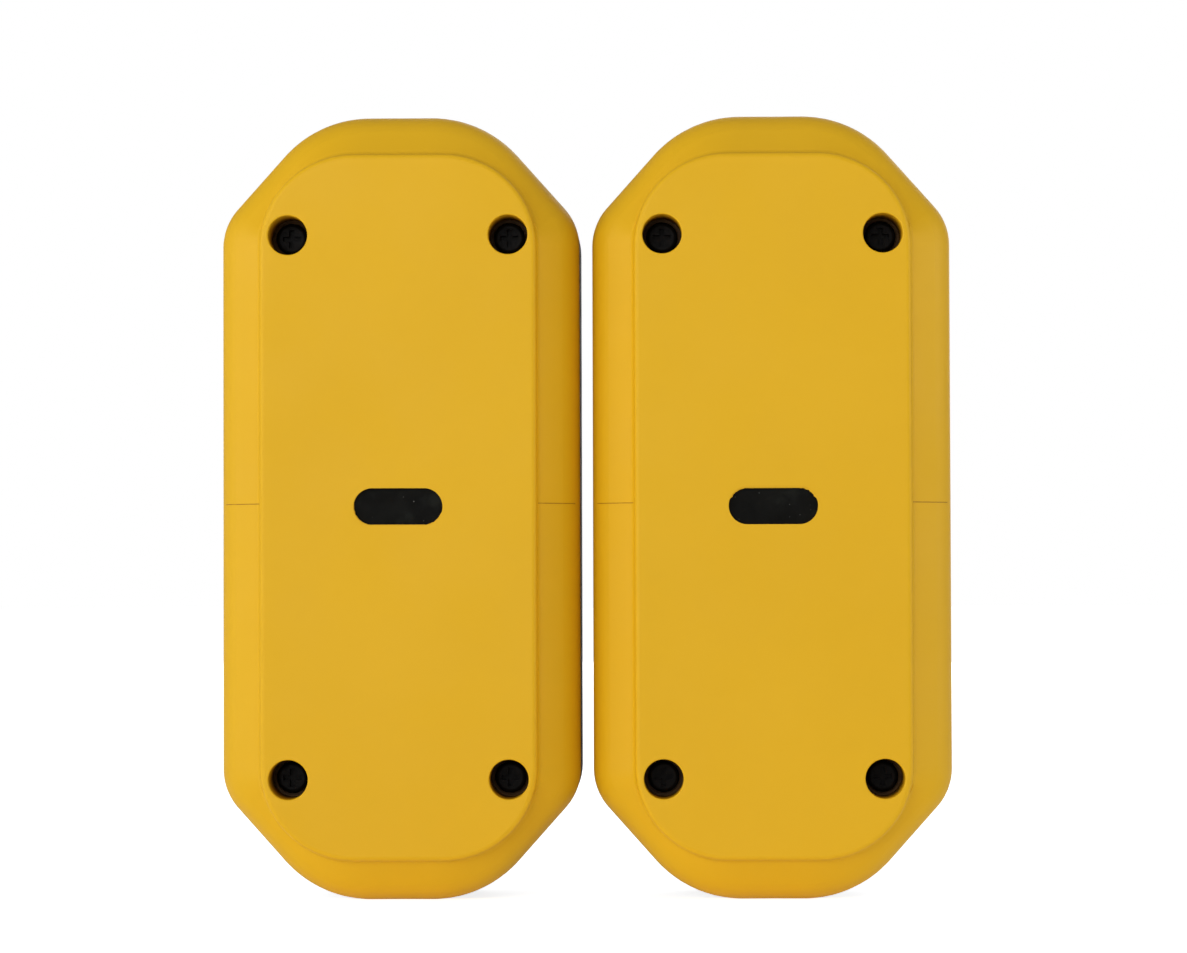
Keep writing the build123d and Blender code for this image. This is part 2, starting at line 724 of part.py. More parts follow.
def jack_contacts(x):
    """Brass sleeves of both jacks, each with a square tail that is soldered to the board."""
    sleeve_top = JACK_TOP - JACK_SLEEVE_SET
    with BuildPart() as contacts:
        with BuildSketch(level_plane(x, JACK_Y, JACK_TOP - JACK_SHROUD_D)):
            with GridLocations(2 * JACK_X, 0, 2, 1):
                Circle(CONTACT_R)
        extrude(amount=JACK_SHROUD_D - JACK_SLEEVE_SET)
        with BuildSketch(level_plane(x, JACK_Y, sleeve_top)):
            with GridLocations(2 * JACK_X, 0, 2, 1):
                Circle(JACK_BORE_R)
        extrude(amount=-JACK_BORE_L, mode=Mode.SUBTRACT)
        with BuildSketch(level_plane(x, JACK_Y, JACK_TOP - JACK_SHROUD_D)):
            with GridLocations(2 * JACK_X, 0, 2, 1):
                Rectangle(TAIL_W, TAIL_W)
        extrude(amount=TAIL_END_Z - JACK_TOP + JACK_SHROUD_D)
        with BuildSketch(level_plane(x, (JACK_Y + BOARD_BACK_Y) / 2, TAIL_END_Z)):
            with GridLocations(2 * JACK_X, 0, 2, 1):
                Rectangle(TAIL_W, BOARD_BACK_Y - JACK_Y)
        extrude(amount=TAIL_W)
    return contacts


def tx_light_pipes(x):
    """Three clear pipes that carry the lamps' light to the face."""
    with BuildPart() as pipes:
        with BuildSketch(back_plane(x, PIPE_BACK_Y, TX_LED_Z)):
            with GridLocations(TX_LED_PITCH, 0, 3, 1):
                Circle(PIPE_R)
        extrude(amount=PIPE_BACK_Y - PIPE_TOP_Y)
        fillet(pipes.faces().sort_by(Axis.Y)[-3:].edges(), PIPE_EDGE_R)
        with BuildSketch(back_plane(x, PIPE_BACK_Y, TX_LED_Z)):
            with GridLocations(TX_LED_PITCH, 0, 3, 1):
                Circle(PIPE_R + PIPE_FLANGE)
        extrude(amount=PIPE_BACK_Y - FACE_INSIDE_Y)
    return pipes


def tx_leds(x):
    """Three round lamps on the board."""
    with BuildPart() as lamps:
        with BuildSketch(back_plane(x, BOARD_FRONT_Y, TX_LED_Z)):
            with GridLocations(TX_LED_PITCH, 0, 3, 1):
                Circle(LED_R)
        extrude(amount=BOARD_FRONT_Y - PIPE_BACK_Y + LAMP_GAP)
        fillet(lamps.faces().sort_by(Axis.Y)[-3:].edges(), LED_DOME_R)
    return lamps


def level_knob(x):
    """Ribbed slider of the level switch, with a skirt under the face and a stem into the switch."""
    with BuildPart() as knob:
        with BuildSketch(back_plane(x, KNOB_SKIRT_Y, LEVEL_Z)):
            RectangleRounded(LEVEL_SKIRT_W, LEVEL_SKIRT_H, LEVEL_CORNER_R)
        extrude(amount=KNOB_SKIRT_Y - FACE_INSIDE_Y + FLANGE_GAP)
        with BuildSketch(back_plane(x, KNOB_SKIRT_Y, LEVEL_Z)):
            RectangleRounded(LEVEL_KNOB_W, LEVEL_KNOB_H, LEVEL_CORNER_R - LEVEL_GAP)
        extrude(amount=KNOB_SKIRT_Y - KEY_TOP_Y)
        with BuildSketch(back_plane(x, KEY_TOP_Y, LEVEL_Z)):
            with GridLocations(RIB_PITCH, 0, 3, 1):
                Rectangle(RIB_GROOVE_W, 2 * LEVEL_KNOB_H)
        extrude(amount=RIB_GROOVE_D, mode=Mode.SUBTRACT)
        with BuildSketch(back_plane(x, KNOB_SKIRT_Y, LEVEL_Z)):
            Rectangle(STEM_W, STEM_W)
        extrude(amount=KNOB_SKIRT_Y - STEM_END_Y)
    return knob


def level_switch(x):
    """Two-position slide switch on the board, grooved for the knob's stem."""
    with BuildPart() as switch:
        with BuildSketch(back_plane(x, BOARD_FRONT_Y, LEVEL_Z)):
            Rectangle(LEVEL_SWITCH_W, LEVEL_SWITCH_H)
        extrude(amount=BOARD_FRONT_Y - LEVEL_SWITCH_Y)
        with BuildSketch(back_plane(x, LEVEL_SWITCH_Y, LEVEL_Z)):
            Rectangle(STEM_W + LEVEL_TRAVEL + 3 * STEM_GAP, STEM_W + STEM_GAP)
        extrude(amount=LEVEL_SWITCH_Y - STEM_END_Y + STEM_GAP, mode=Mode.SUBTRACT)
    return switch


def transformer_core(x):
    """Ferrite core with two windows, on the back of the board."""
    with BuildPart() as core:
        with BuildSketch(back_plane(x, CORE_Y, CORE_Z)):
            Rectangle(CORE_W, CORE_H)
            with GridLocations(CORE_LEG_W + CORE_WINDOW_W, 0, 2, 1):
                Rectangle(CORE_WINDOW_W, CORE_WINDOW_H, mode=Mode.SUBTRACT)
        extrude(amount=CORE_T)
    return core


def transformer_winding(x):
    """Taped winding on its bobbin, around the core's middle leg."""
    with BuildPart() as winding:
        with BuildSketch(level_plane(x, CORE_Y - CORE_T / 2, CORE_Z - CORE_WINDOW_H / 2 + WINDING_GAP)):
            RectangleRounded(WINDING_W, WINDING_D, WINDING_CORNER_R)
            Rectangle(CORE_LEG_W + 2 * FIT_GAP, CORE_T + 2 * FIT_GAP, mode=Mode.SUBTRACT)
        extrude(amount=CORE_WINDOW_H - 2 * WINDING_GAP)
    return winding


def fuse(x):
    """Glass cartridge fuse: a tube between two end caps."""
    with BuildPart() as cartridge:
        with BuildSketch(side_plane(x - FUSE_L / 2, FUSE_Y, FUSE_Z)):
            Circle(FUSE_R)
        extrude(amount=FUSE_CAP_L)
        with BuildSketch(side_plane(x + FUSE_L / 2, FUSE_Y, FUSE_Z)):
            Circle(FUSE_R)
        extrude(amount=-FUSE_CAP_L)
        with BuildSketch(side_plane(x - FUSE_L / 2 + FUSE_CAP_L, FUSE_Y, FUSE_Z)):
            Circle(FUSE_GLASS_R)
        extrude(amount=FUSE_L - 2 * FUSE_CAP_L)
    return cartridge


def fuse_clips(x):
    """Two spring clips that stand on the board and grip the fuse's caps."""
    clip_x = (FUSE_L - FUSE_CAP_L) / 2
    with BuildPart() as clips:
        with BuildSketch(back_plane(x, FUSE_Y - FUSE_CLIP_GRIP, FUSE_Z)):
            with GridLocations(2 * clip_x, 0, 2, 1):
                Rectangle(FUSE_CLIP_W, FUSE_CLIP_H)
        extrude(amount=FUSE_Y - FUSE_CLIP_GRIP - BOARD_BACK_Y)
        with BuildSketch(side_plane(x - FUSE_L / 2, FUSE_Y, FUSE_Z)):
            Circle(FUSE_R + FIT_GAP)
        extrude(amount=FUSE_L, mode=Mode.SUBTRACT)
    return clips


# ---- Receiver ----

def rx_light_bars(x):
    """Seven diffusing bars of the signal display, each with a flange behind the face."""
    with BuildPart() as bars:
        with BuildSketch(back_plane(x, BAR_BACK_Y)):
            for index in range(BAR_COUNT):
                with Locations((0, BAR_LOW_Z + BAR_PITCH * index)):
                    Rectangle(bar_width(index) - 2 * FIT_GAP, BAR_H - 2 * FIT_GAP)
        extrude(amount=BAR_BACK_Y - BAR_TOP_Y)
        with BuildSketch(back_plane(x, BAR_BACK_Y)):
            for index in range(BAR_COUNT):
                with Locations((0, BAR_LOW_Z + BAR_PITCH * index)):
                    Rectangle(bar_width(index) + 2 * BAR_FLANGE_X, BAR_H + 2 * BAR_FLANGE_Z)
        extrude(amount=BAR_BACK_Y - FACE_INSIDE_Y)
    return bars


def rx_leds(x):
    """Surface-mount lamps, one behind each light bar."""
    with BuildPart() as lamps:
        with BuildSketch(back_plane(x, BOARD_FRONT_Y, BAR_LOW_Z + BAR_PITCH * (BAR_COUNT - 1) / 2)):
            with GridLocations(0, BAR_PITCH, 1, BAR_COUNT):
                Rectangle(CHIP_LED_W, CHIP_LED_H)
        extrude(amount=-CHIP_LED_T)
    return lamps


def dial(x):
    """Sensitivity dial: a notched disc with a raised finger bar, bored for the shaft."""
    with BuildPart() as knob:
        with BuildSketch(back_plane(x, DIAL_BACK_Y, DIAL_Z)):
            Circle(DIAL_R)
        extrude(amount=-DIAL_DISC_T)
        with BuildSketch(back_plane(x, DIAL_BACK_Y, DIAL_Z)):
            with PolarLocations(DIAL_NOTCH_CIRCLE_R, DIAL_NOTCHES):
                Circle(DIAL_NOTCH_R)
        extrude(amount=-DIAL_DISC_T, mode=Mode.SUBTRACT)
        with BuildSketch(back_plane(x, DIAL_BACK_Y + DIAL_DISC_T, DIAL_Z)):
            RectangleRounded(DIAL_BAR_W, DIAL_BAR_L, DIAL_BAR_END_R)
        extrude(amount=DIAL_BACK_Y + DIAL_DISC_T - DIAL_TOP_Y)
        fillet(knob.faces().sort_by(Axis.Y)[-1].edges(), DIAL_BAR_EDGE_R)
        with BuildSketch(back_plane(x, DIAL_BACK_Y, DIAL_Z)):
            Circle(POT_SHAFT_R + THREAD_GAP)
        extrude(amount=DIAL_BACK_Y - SHAFT_END_Y, mode=Mode.SUBTRACT)
    return knob


def dial_shaft(x):
    """Potentiometer's spindle, which turns with the dial."""
    with BuildPart() as shaft:
        with BuildSketch(back_plane(x, SHAFT_FOOT_Y, DIAL_Z)):
            Circle(POT_SHAFT_R)
        extrude(amount=SHAFT_FOOT_Y - SHAFT_END_Y)
    return shaft


def potentiometer(x):
    """Body of the potentiometer on the board, bored for its spindle."""
    with BuildPart() as pot:
        with BuildSketch(back_plane(x, BOARD_FRONT_Y, DIAL_Z)):
            RectangleRounded(POT_SIZE, POT_SIZE, POT_CORNER_R)
            Circle(POT_SHAFT_R + FIT_GAP, mode=Mode.SUBTRACT)
        extrude(amount=-POT_T)
    return pot


def buzzer(x):
    """Round sounder behind the grille."""
    with BuildPart() as sounder:
        with BuildSketch(back_plane(x, BOARD_FRONT_Y, BUZZER_Z)):
            Circle(BUZZER_R)
        extrude(amount=-BUZZER_T)
        fillet(sounder.edges().sort_by(Axis.Y)[-1], BUZZER_EDGE_R)
        with BuildSketch(back_plane(x, BOARD_FRONT_Y + BUZZER_T, BUZZER_Z)):
            Circle(SOUND_HOLE_R)
        extrude(amount=SOUND_HOLE_D, mode=Mode.SUBTRACT)
    return sounder


def ferrite_rod(x):
    """Ferrite rod of the pickup, across the top of the case."""
    with BuildPart() as rod:
        with BuildSketch(side_plane(x - ROD_L / 2, COIL_Y, COIL_Z)):
            Circle(ROD_R)
        extrude(amount=ROD_L)
        chamfer(rod.edges().filter_by(GeomType.CIRCLE), ROD_CHAMFER)
    return rod


def pickup_coil(x):
    """Copper winding round the middle of the rod."""
    with BuildPart() as coil:
        with BuildSketch(side_plane(x - COIL_L / 2, COIL_Y, COIL_Z)):
            Circle(COIL_R)
            Circle(ROD_R + FIT_GAP, mode=Mode.SUBTRACT)
        extrude(amount=COIL_L)
    return coil


def coil_cradle(x):
    """Two posts bored for the rod, fixed to the inside of the front face."""
    with BuildPart() as cradle:
        with BuildSketch(back_plane(x, FACE_INSIDE_Y, COIL_Z)):
            with GridLocations(CRADLE_PITCH, 0, 2, 1):
                Rectangle(CRADLE_T, 2 * ROD_R + 2 * CRADLE_RIM)
        extrude(amount=FACE_INSIDE_Y - COIL_Y + ROD_R + CRADLE_RIM)
        with BuildSketch(side_plane(x - ROD_L / 2, COIL_Y, COIL_Z)):
            Circle(ROD_R + FIT_GAP)
        extrude(amount=ROD_L, mode=Mode.SUBTRACT)
    return cradle


def coil_leads(x):
    """Two enamelled wires from the winding to the back of the board."""
    with BuildPart() as leads:
        for side in (-1, 1):
            route = [
                (x + side * COIL_LEAD_X, COIL_Y, MID_Z + COIL_Z - COIL_R),
                (x + side * COIL_LEAD_X, COIL_Y - COIL_LEAD_SAG, MID_Z + COIL_LEAD_Z),
                (x + side * COIL_LEAD_X, BOARD_BACK_Y, MID_Z + COIL_LEAD_Z),
            ]
            with BuildLine() as path:
                FilletPolyline(*route, radius=COIL_LEAD_BEND_R)
            with BuildSketch(Plane(origin=path.line @ 0, z_dir=path.line % 0)):
                Circle(COIL_WIRE_R)
            sweep(path=path.line)
    return leads


# ---- Build and write every piece ----

for unit, x in (("tx", LEFT_X), ("rx", RIGHT_X)):
    save(back_shell(x), f"{unit}_back_shell")
    save(case_screws(x), f"{unit}_case_screws")
    save(bar_magnet(x), f"{unit}_bar_magnet")
    save(magnet_clip(x), f"{unit}_magnet_clip")
    save(circuit_board(x), f"{unit}_circuit_board")
    save(board_screws(x), f"{unit}_board_screws")
    save(board_chips(x), f"{unit}_board_chips")
    save(battery(x), f"{unit}_battery")
    save(battery_snap(x), f"{unit}_battery_snap")
    save(battery_lead(x, -1), f"{unit}_battery_lead_red")
    save(battery_lead(x, 1), f"{unit}_battery_lead_black")
    save(battery_pad(x), f"{unit}_battery_pad")

save(transmitter_case(LEFT_X), "tx_front_case")
save(faceplate(LEFT_X, tx_face_openings()), "tx_faceplate")
save(round_key(LEFT_X, TX_POWER_Z, POWER_KEY_R), "tx_power_key")
save(key_switches(LEFT_X, [(0, TX_POWER_Z)]), "tx_key_switch")
save(jack_body(LEFT_X - JACK_X), "tx_jack_red")
save(jack_body(LEFT_X + JACK_X), "tx_jack_black")
save(jack_contacts(LEFT_X), "tx_jack_contacts")
save(tx_light_pipes(LEFT_X), "tx_light_pipes")
save(tx_leds(LEFT_X), "tx_leds")
save(level_knob(LEFT_X - LEVEL_TRAVEL / 2), "tx_level_knob")
save(level_switch(LEFT_X), "tx_level_switch")
save(transformer_core(LEFT_X), "tx_transformer_core")
save(transformer_winding(LEFT_X), "tx_transformer_winding")
save(fuse(LEFT_X), "tx_fuse")
save(fuse_clips(LEFT_X), "tx_fuse_clips")

save(front_case(RIGHT_X, rx_face_openings()), "rx_front_case")
save(faceplate(RIGHT_X, rx_face_openings()), "rx_faceplate")
save(round_key(RIGHT_X - KEY_ROW_X, KEY_ROW_Z, KEY_R), "rx_power_key")
save(round_key(RIGHT_X + KEY_ROW_X, KEY_ROW_Z, KEY_R), "rx_mute_key")
save(key_switches(RIGHT_X, [(-KEY_ROW_X, KEY_ROW_Z), (KEY_ROW_X, KEY_ROW_Z)]), "rx_key_switches")
save(rx_light_bars(RIGHT_X), "rx_light_bars")
save(rx_leds(RIGHT_X), "rx_leds")
save(dial(RIGHT_X), "rx_sensitivity_dial")
save(dial_shaft(RIGHT_X), "rx_dial_shaft")
save(potentiometer(RIGHT_X), "rx_potentiometer")
save(buzzer(RIGHT_X), "rx_buzzer")
save(ferrite_rod(RIGHT_X), "rx_ferrite_rod")
save(pickup_coil(RIGHT_X), "rx_pickup_coil")
save(coil_cradle(RIGHT_X), "rx_coil_cradle")
save(coil_leads(RIGHT_X), "rx_coil_leads")
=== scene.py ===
import math

import bmesh
import bpy
from mathutils import Matrix, Vector, noise


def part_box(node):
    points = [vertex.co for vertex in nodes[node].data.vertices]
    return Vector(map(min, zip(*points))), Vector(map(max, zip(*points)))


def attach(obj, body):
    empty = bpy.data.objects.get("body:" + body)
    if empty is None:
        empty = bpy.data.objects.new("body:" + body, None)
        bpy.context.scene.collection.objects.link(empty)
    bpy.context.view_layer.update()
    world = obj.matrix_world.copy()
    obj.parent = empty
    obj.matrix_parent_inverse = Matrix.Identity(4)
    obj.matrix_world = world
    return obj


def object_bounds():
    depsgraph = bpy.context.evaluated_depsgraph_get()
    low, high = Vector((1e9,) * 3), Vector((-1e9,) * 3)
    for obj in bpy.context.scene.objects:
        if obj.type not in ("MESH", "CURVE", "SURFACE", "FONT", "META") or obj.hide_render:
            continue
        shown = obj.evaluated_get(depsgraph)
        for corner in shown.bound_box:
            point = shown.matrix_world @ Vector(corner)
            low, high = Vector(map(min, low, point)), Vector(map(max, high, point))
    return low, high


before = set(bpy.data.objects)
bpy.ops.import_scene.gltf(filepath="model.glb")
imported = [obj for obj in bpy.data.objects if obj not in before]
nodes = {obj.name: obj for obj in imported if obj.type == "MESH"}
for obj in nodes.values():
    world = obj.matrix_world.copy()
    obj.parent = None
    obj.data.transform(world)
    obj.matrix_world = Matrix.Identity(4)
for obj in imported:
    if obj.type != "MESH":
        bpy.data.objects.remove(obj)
cad_low, cad_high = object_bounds()

# ---------------------------------------------------------------------------------------------------------
# Front cases
# The deep half of each unit, with the recessed face. Moulded in charcoal ABS with a fine spark-eroded
# texture; the back shell's lip registers inside its rim and four bosses take the case screws.
# ---------------------------------------------------------------------------------------------------------
MM = 0.001


def wire(tree, kind, inputs=(), **settings):
    """A shader node of that kind, with its settings and a value or a feeding output for each input."""
    made = tree.nodes.new("ShaderNode" + kind)
    for key, value in settings.items():
        setattr(made, key, value)
    for key, value in dict(inputs).items():
        if isinstance(value, bpy.types.NodeSocket):
            tree.links.new(value, made.inputs[key])
        else:
            made.inputs[key].default_value = value
    return made


def calc(tree, operation, first, second=0.0, clamp=False):
    """The result of a Math node."""
    return wire(tree, "Math", {0: first, 1: second}, operation=operation, use_clamp=clamp).outputs[0]


def spread(tree, value, low, high, to_low=0.0, to_high=1.0):
    """value, from low..high to to_low..to_high with soft ends."""
    inputs = {"Value": value, "From Min": low, "From Max": high, "To Min": to_low, "To Max": to_high}
    return wire(tree, "MapRange", inputs, interpolation_type="SMOOTHSTEP").outputs[0]


def blend_colour(tree, factor, first, second):
    """first where the factor is 0, second where it is 1."""
    mixer = wire(tree, "Mix", {"Factor": factor}, data_type="RGBA")
    for socket, colour in zip((mixer.inputs[6], mixer.inputs[7]), (first, second)):
        if isinstance(colour, bpy.types.NodeSocket):
            tree.links.new(colour, socket)
        else:
            socket.default_value = (*colour, 1.0)
    return mixer.outputs[2]


class Finish:
    """A material whose colour drifts between two tones over patches, with fine grain and an uneven gloss."""

    def __init__(self, name, light, dark, roughness, patch=12, grain=0.3, height=0.01, spread_by=0.08,
                 metallic=0.0, specular=0.5):
        self.material = bpy.data.materials.new(name)
        self.material.use_nodes = True
        self.tree = self.material.node_tree
        self.shader = self.tree.nodes["Principled BSDF"]
        self.shader.inputs["Metallic"].default_value = metallic
        self.shader.inputs["Specular IOR Level"].default_value = specular
        self.where = wire(self.tree, "TexCoord").outputs["Object"]
        self.axes = wire(self.tree, "SeparateXYZ", {"Vector": self.where}).outputs
        drift = self.cloud(patch, 3)
        self.colour = blend_colour(self.tree, spread(self.tree, drift, 0.3, 0.7), dark, light)
        self.fine = self.cloud(grain, 2)
        uneven = calc(self.tree, "ADD", self.cloud(patch / 3, 3), calc(self.tree, "MULTIPLY", self.fine, 0.3))
        self.gloss = spread(self.tree, uneven, 0.35, 0.95, roughness - spread_by, roughness + spread_by)
        self.bumps = wire(self.tree, "Bump", {"Height": self.fine, "Distance": height * MM, "Strength": 1.0})

    def cloud(self, size, detail):
        """Noise with features of that size in millimetres."""
        inputs = {"Vector": self.where, "Scale": 1 / (size * MM), "Detail": detail}
        return wire(self.tree, "TexNoise", inputs).outputs["Fac"]

    def mark(self, mask, colour):
        """Paints colour over what is there where the mask is 1."""
        self.colour = blend_colour(self.tree, mask, self.colour, colour)

    def raise_by(self, mask, height):
        """Raises the surface by that many millimetres where the mask is 1."""
        inputs = {"Height": mask, "Distance": height * MM, "Strength": 1.0, "Normal": self.bumps.outputs[0]}
        self.bumps = wire(self.tree, "Bump", inputs)

    def done(self):
        links = self.tree.links
        links.new(self.colour, self.shader.inputs["Base Color"])
        links.new(self.gloss, self.shader.inputs["Roughness"])
        links.new(self.bumps.outputs[0], self.shader.inputs["Normal"])
        return self.material


def dust(finish, cell, radius, share, colour):
    """Sparse specks: about share of the cells hold one, of that radius in millimetres."""
    inputs = {"Vector": finish.where, "Scale": 1 / (cell * MM), "Randomness": 1.0}
    cells = wire(finish.tree, "TexVoronoi", inputs)
    near = spread(finish.tree, cells.outputs["Distance"], radius / cell * 0.6, radius / cell, 1.0, 0.0)
    chance = wire(finish.tree, "SeparateColor", {"Color": cells.outputs["Color"]}).outputs[0]
    mask = calc(finish.tree, "MULTIPLY", near, calc(finish.tree, "LESS_THAN", chance, share))
    finish.mark(mask, colour)


def coat(material, *names):
    """Gives the material to these CAD nodes."""
    for name in names:
        nodes[name].material_slots[0].material = material


charcoal = Finish("charcoal_abs", (0.026, 0.026, 0.028), (0.021, 0.021, 0.023), 0.56, patch=25, grain=0.25,
                  height=0.02, specular=0.4)
dust(charcoal, 5.0, 0.07, 0.25, (0.10, 0.10, 0.095))
coat(charcoal.done(), "tx_front_case", "rx_front_case")

# ---------------------------------------------------------------------------------------------------------
# Test jacks
# Two shrouded 4 mm sockets in the transmitter's top end, one red and one black. Glossy moulded nylon round
# a turned brass sleeve, pressed up into the front case from inside.
# ---------------------------------------------------------------------------------------------------------
red_nylon = Finish("red_nylon", (0.47, 0.012, 0.010), (0.40, 0.010, 0.008), 0.3, patch=4, grain=0.5,
                   height=0.004)
coat(red_nylon.done(), "tx_jack_red")
black_nylon = Finish("black_nylon", (0.016, 0.016, 0.017), (0.011, 0.011, 0.012), 0.3, patch=4, grain=0.5,
                     height=0.004)
coat(black_nylon.done(), "tx_jack_black")

plated_brass = Finish("plated_brass", (0.60, 0.50, 0.33), (0.48, 0.38, 0.22), 0.28, patch=2, grain=0.1,
                      height=0.004, metallic=1.0)
TOOL_MARKS = 2500.0
feed = {"Vector": plated_brass.where, "Scale": TOOL_MARKS, "Distortion": 0.4}
turning = wire(plated_brass.tree, "TexWave", feed, wave_type="BANDS", bands_direction="Z")
plated_brass.raise_by(turning.outputs["Fac"], 0.004)
coat(plated_brass.done(), "tx_jack_contacts", "tx_fuse_clips")

# ---------------------------------------------------------------------------------------------------------
# Circuit boards
# A 1.6 mm glass-fibre board in each unit, under green solder mask with the tracks showing through it, held
# to the front case by four zinc-plated screws. Epoxy chips and the push switches are soldered on its front.
# ---------------------------------------------------------------------------------------------------------
TRACK_PITCH = 1.27
LANE_SCALE = 150.0
mask_green = Finish("solder_mask", (0.010, 0.105, 0.042), (0.007, 0.085, 0.034), 0.3, patch=9, grain=0.4,
                    height=0.005)
stretch = wire(mask_green.tree, "Mapping", {"Vector": mask_green.where, "Scale": (1.0, 1.0, 0.25)})
grid = {"Vector": stretch.outputs[0], "Scale": 1 / (3 * TRACK_PITCH * MM)}
routes = wire(mask_green.tree, "TexVoronoi", grid, distance="CHEBYCHEV", feature="F1")
lanes = {"Vector": routes.outputs["Position"], "Scale": LANE_SCALE, "Distortion": 0.0}
lane = wire(mask_green.tree, "TexWave", lanes)
near_track = spread(mask_green.tree, routes.outputs["Distance"], 0.30, 0.34, 0.0, 1.0)
copper = calc(mask_green.tree, "GREATER_THAN", lane.outputs["Fac"], 0.4)
track = calc(mask_green.tree, "MULTIPLY", near_track, copper)
mask_green.mark(track, (0.022, 0.190, 0.070))
mask_green.raise_by(track, 0.03)
coat(mask_green.done(), "tx_circuit_board", "rx_circuit_board")

epoxy = Finish("chip_epoxy", (0.020, 0.020, 0.021), (0.014, 0.014, 0.015), 0.5, patch=1.5, grain=0.08,
               height=0.008)
coat(epoxy.done(), "tx_board_chips", "rx_board_chips", "tx_key_switch", "rx_key_switches", "tx_level_switch",
     "rx_potentiometer", "rx_buzzer", "tx_battery_snap", "rx_battery_snap")

zinc = Finish("zinc_plate", (0.62, 0.61, 0.58), (0.50, 0.50, 0.50), 0.33, patch=1.0, grain=0.06, height=0.004,
              metallic=1.0)
coat(zinc.done(), "tx_board_screws", "rx_board_screws")

# ---------------------------------------------------------------------------------------------------------
# Signal parts
# The transmitter's pulse transformer, with its wound bobbin and glass fuse in clips, and the receiver's
# pickup coil on a ferrite rod. Enamelled copper is wound turn beside turn; the ferrite is sintered and dull.
# ---------------------------------------------------------------------------------------------------------
WIRE_D = 0.35
enamel = Finish("enamelled_copper", (0.62, 0.20, 0.075), (0.45, 0.13, 0.045), 0.32, patch=3, grain=0.3,
                height=0.003, metallic=0.85)
winding = {"Vector": enamel.where, "Scale": 1 / (WIRE_D * MM * math.pi), "Distortion": 0.2}
turns = wire(enamel.tree, "TexWave", winding, wave_type="BANDS", bands_direction="X")
enamel.raise_by(turns.outputs["Fac"], 0.08)
coat(enamel.done(), "tx_transformer_winding", "rx_pickup_coil", "rx_coil_leads")

sintered = Finish("sintered_ferrite", (0.040, 0.041, 0.044), (0.026, 0.026, 0.028), 0.68, patch=2, grain=0.12,
                  height=0.02)
coat(sintered.done(), "tx_transformer_core", "rx_ferrite_rod")

natural = Finish("inner_moulding", (0.075, 0.075, 0.08), (0.06, 0.06, 0.064), 0.5, patch=6, grain=0.3,
                 height=0.008)
coat(natural.done(), "rx_coil_cradle", "rx_dial_shaft", "tx_magnet_clip", "rx_magnet_clip")

fuse_glass = Finish("fuse_glass", (0.86, 0.88, 0.88), (0.80, 0.83, 0.83), 0.14, patch=3, grain=0.5,
                    height=0.002, spread_by=0.04)
fuse_glass.shader.inputs["Transmission Weight"].default_value = 0.6
coat(fuse_glass.done(), "tx_fuse")

# ---------------------------------------------------------------------------------------------------------
# Batteries
# A 9 V block in a printed steel jacket lies behind each board on a strip of black foam. A snap cap and two
# PVC-insulated leads, red and black, take it up to the board.
# ---------------------------------------------------------------------------------------------------------
battery_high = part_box("tx_battery")[1]
BAND_DEPTH = 14.0
BAND_LINE = 0.6 * MM
BAND_TOP = battery_high.z - BAND_DEPTH * MM
jacket = Finish("printed_jacket", (0.035, 0.036, 0.04), (0.027, 0.028, 0.032), 0.3, patch=10, grain=0.3,
                height=0.003, metallic=0.7)
jacket.mark(calc(jacket.tree, "GREATER_THAN", jacket.axes["Z"], BAND_TOP), (0.50, 0.33, 0.06))
line_gap = calc(jacket.tree, "ABSOLUTE", calc(jacket.tree, "SUBTRACT", jacket.axes["Z"], BAND_TOP))
jacket.mark(calc(jacket.tree, "LESS_THAN", line_gap, BAND_LINE), (0.75, 0.75, 0.74))
coat(jacket.done(), "tx_battery", "rx_battery")

red_pvc = Finish("red_pvc", (0.42, 0.012, 0.010), (0.36, 0.010, 0.009), 0.42, patch=3, grain=0.4,
                 height=0.006)
coat(red_pvc.done(), "tx_battery_lead_red", "rx_battery_lead_red")
black_pvc = Finish("black_pvc", (0.018, 0.018, 0.018), (0.013, 0.013, 0.013), 0.42, patch=3, grain=0.4,
                   height=0.006)
coat(black_pvc.done(), "tx_battery_lead_black", "rx_battery_lead_black")

foam = Finish("open_foam", (0.030, 0.030, 0.031), (0.018, 0.018, 0.019), 0.95, patch=4, grain=0.5, height=0.1)
FOAM_CELL = 0.7
foam_cells = wire(foam.tree, "TexVoronoi", {"Vector": foam.where, "Scale": 1 / (FOAM_CELL * MM)})
foam.raise_by(foam_cells.outputs["Distance"], 0.5)
coat(foam.done(), "tx_battery_pad", "rx_battery_pad")

# ---------------------------------------------------------------------------------------------------------
# Lamps and light pipes
# Epoxy lamps on the boards shine through diffusing polycarbonate pushed into the faces from inside: three
# round pipes on the transmitter, and seven bars that widen upwards on the receiver.
# ---------------------------------------------------------------------------------------------------------
milky = Finish("milky_polycarbonate", (0.66, 0.70, 0.66), (0.60, 0.64, 0.60), 0.36, patch=3, grain=0.25,
               height=0.006, spread_by=0.05)
milky.shader.inputs["Subsurface Weight"].default_value = 0.25
milky.shader.inputs["Subsurface Scale"].default_value = 1.0 * MM
coat(milky.done(), "tx_light_pipes", "rx_light_bars")

lens = Finish("lamp_lens", (0.70, 0.74, 0.62), (0.62, 0.66, 0.55), 0.2, patch=1.5, grain=0.2, height=0.002)
lens.shader.inputs["Transmission Weight"].default_value = 0.3
coat(lens.done(), "tx_leds", "rx_leds")

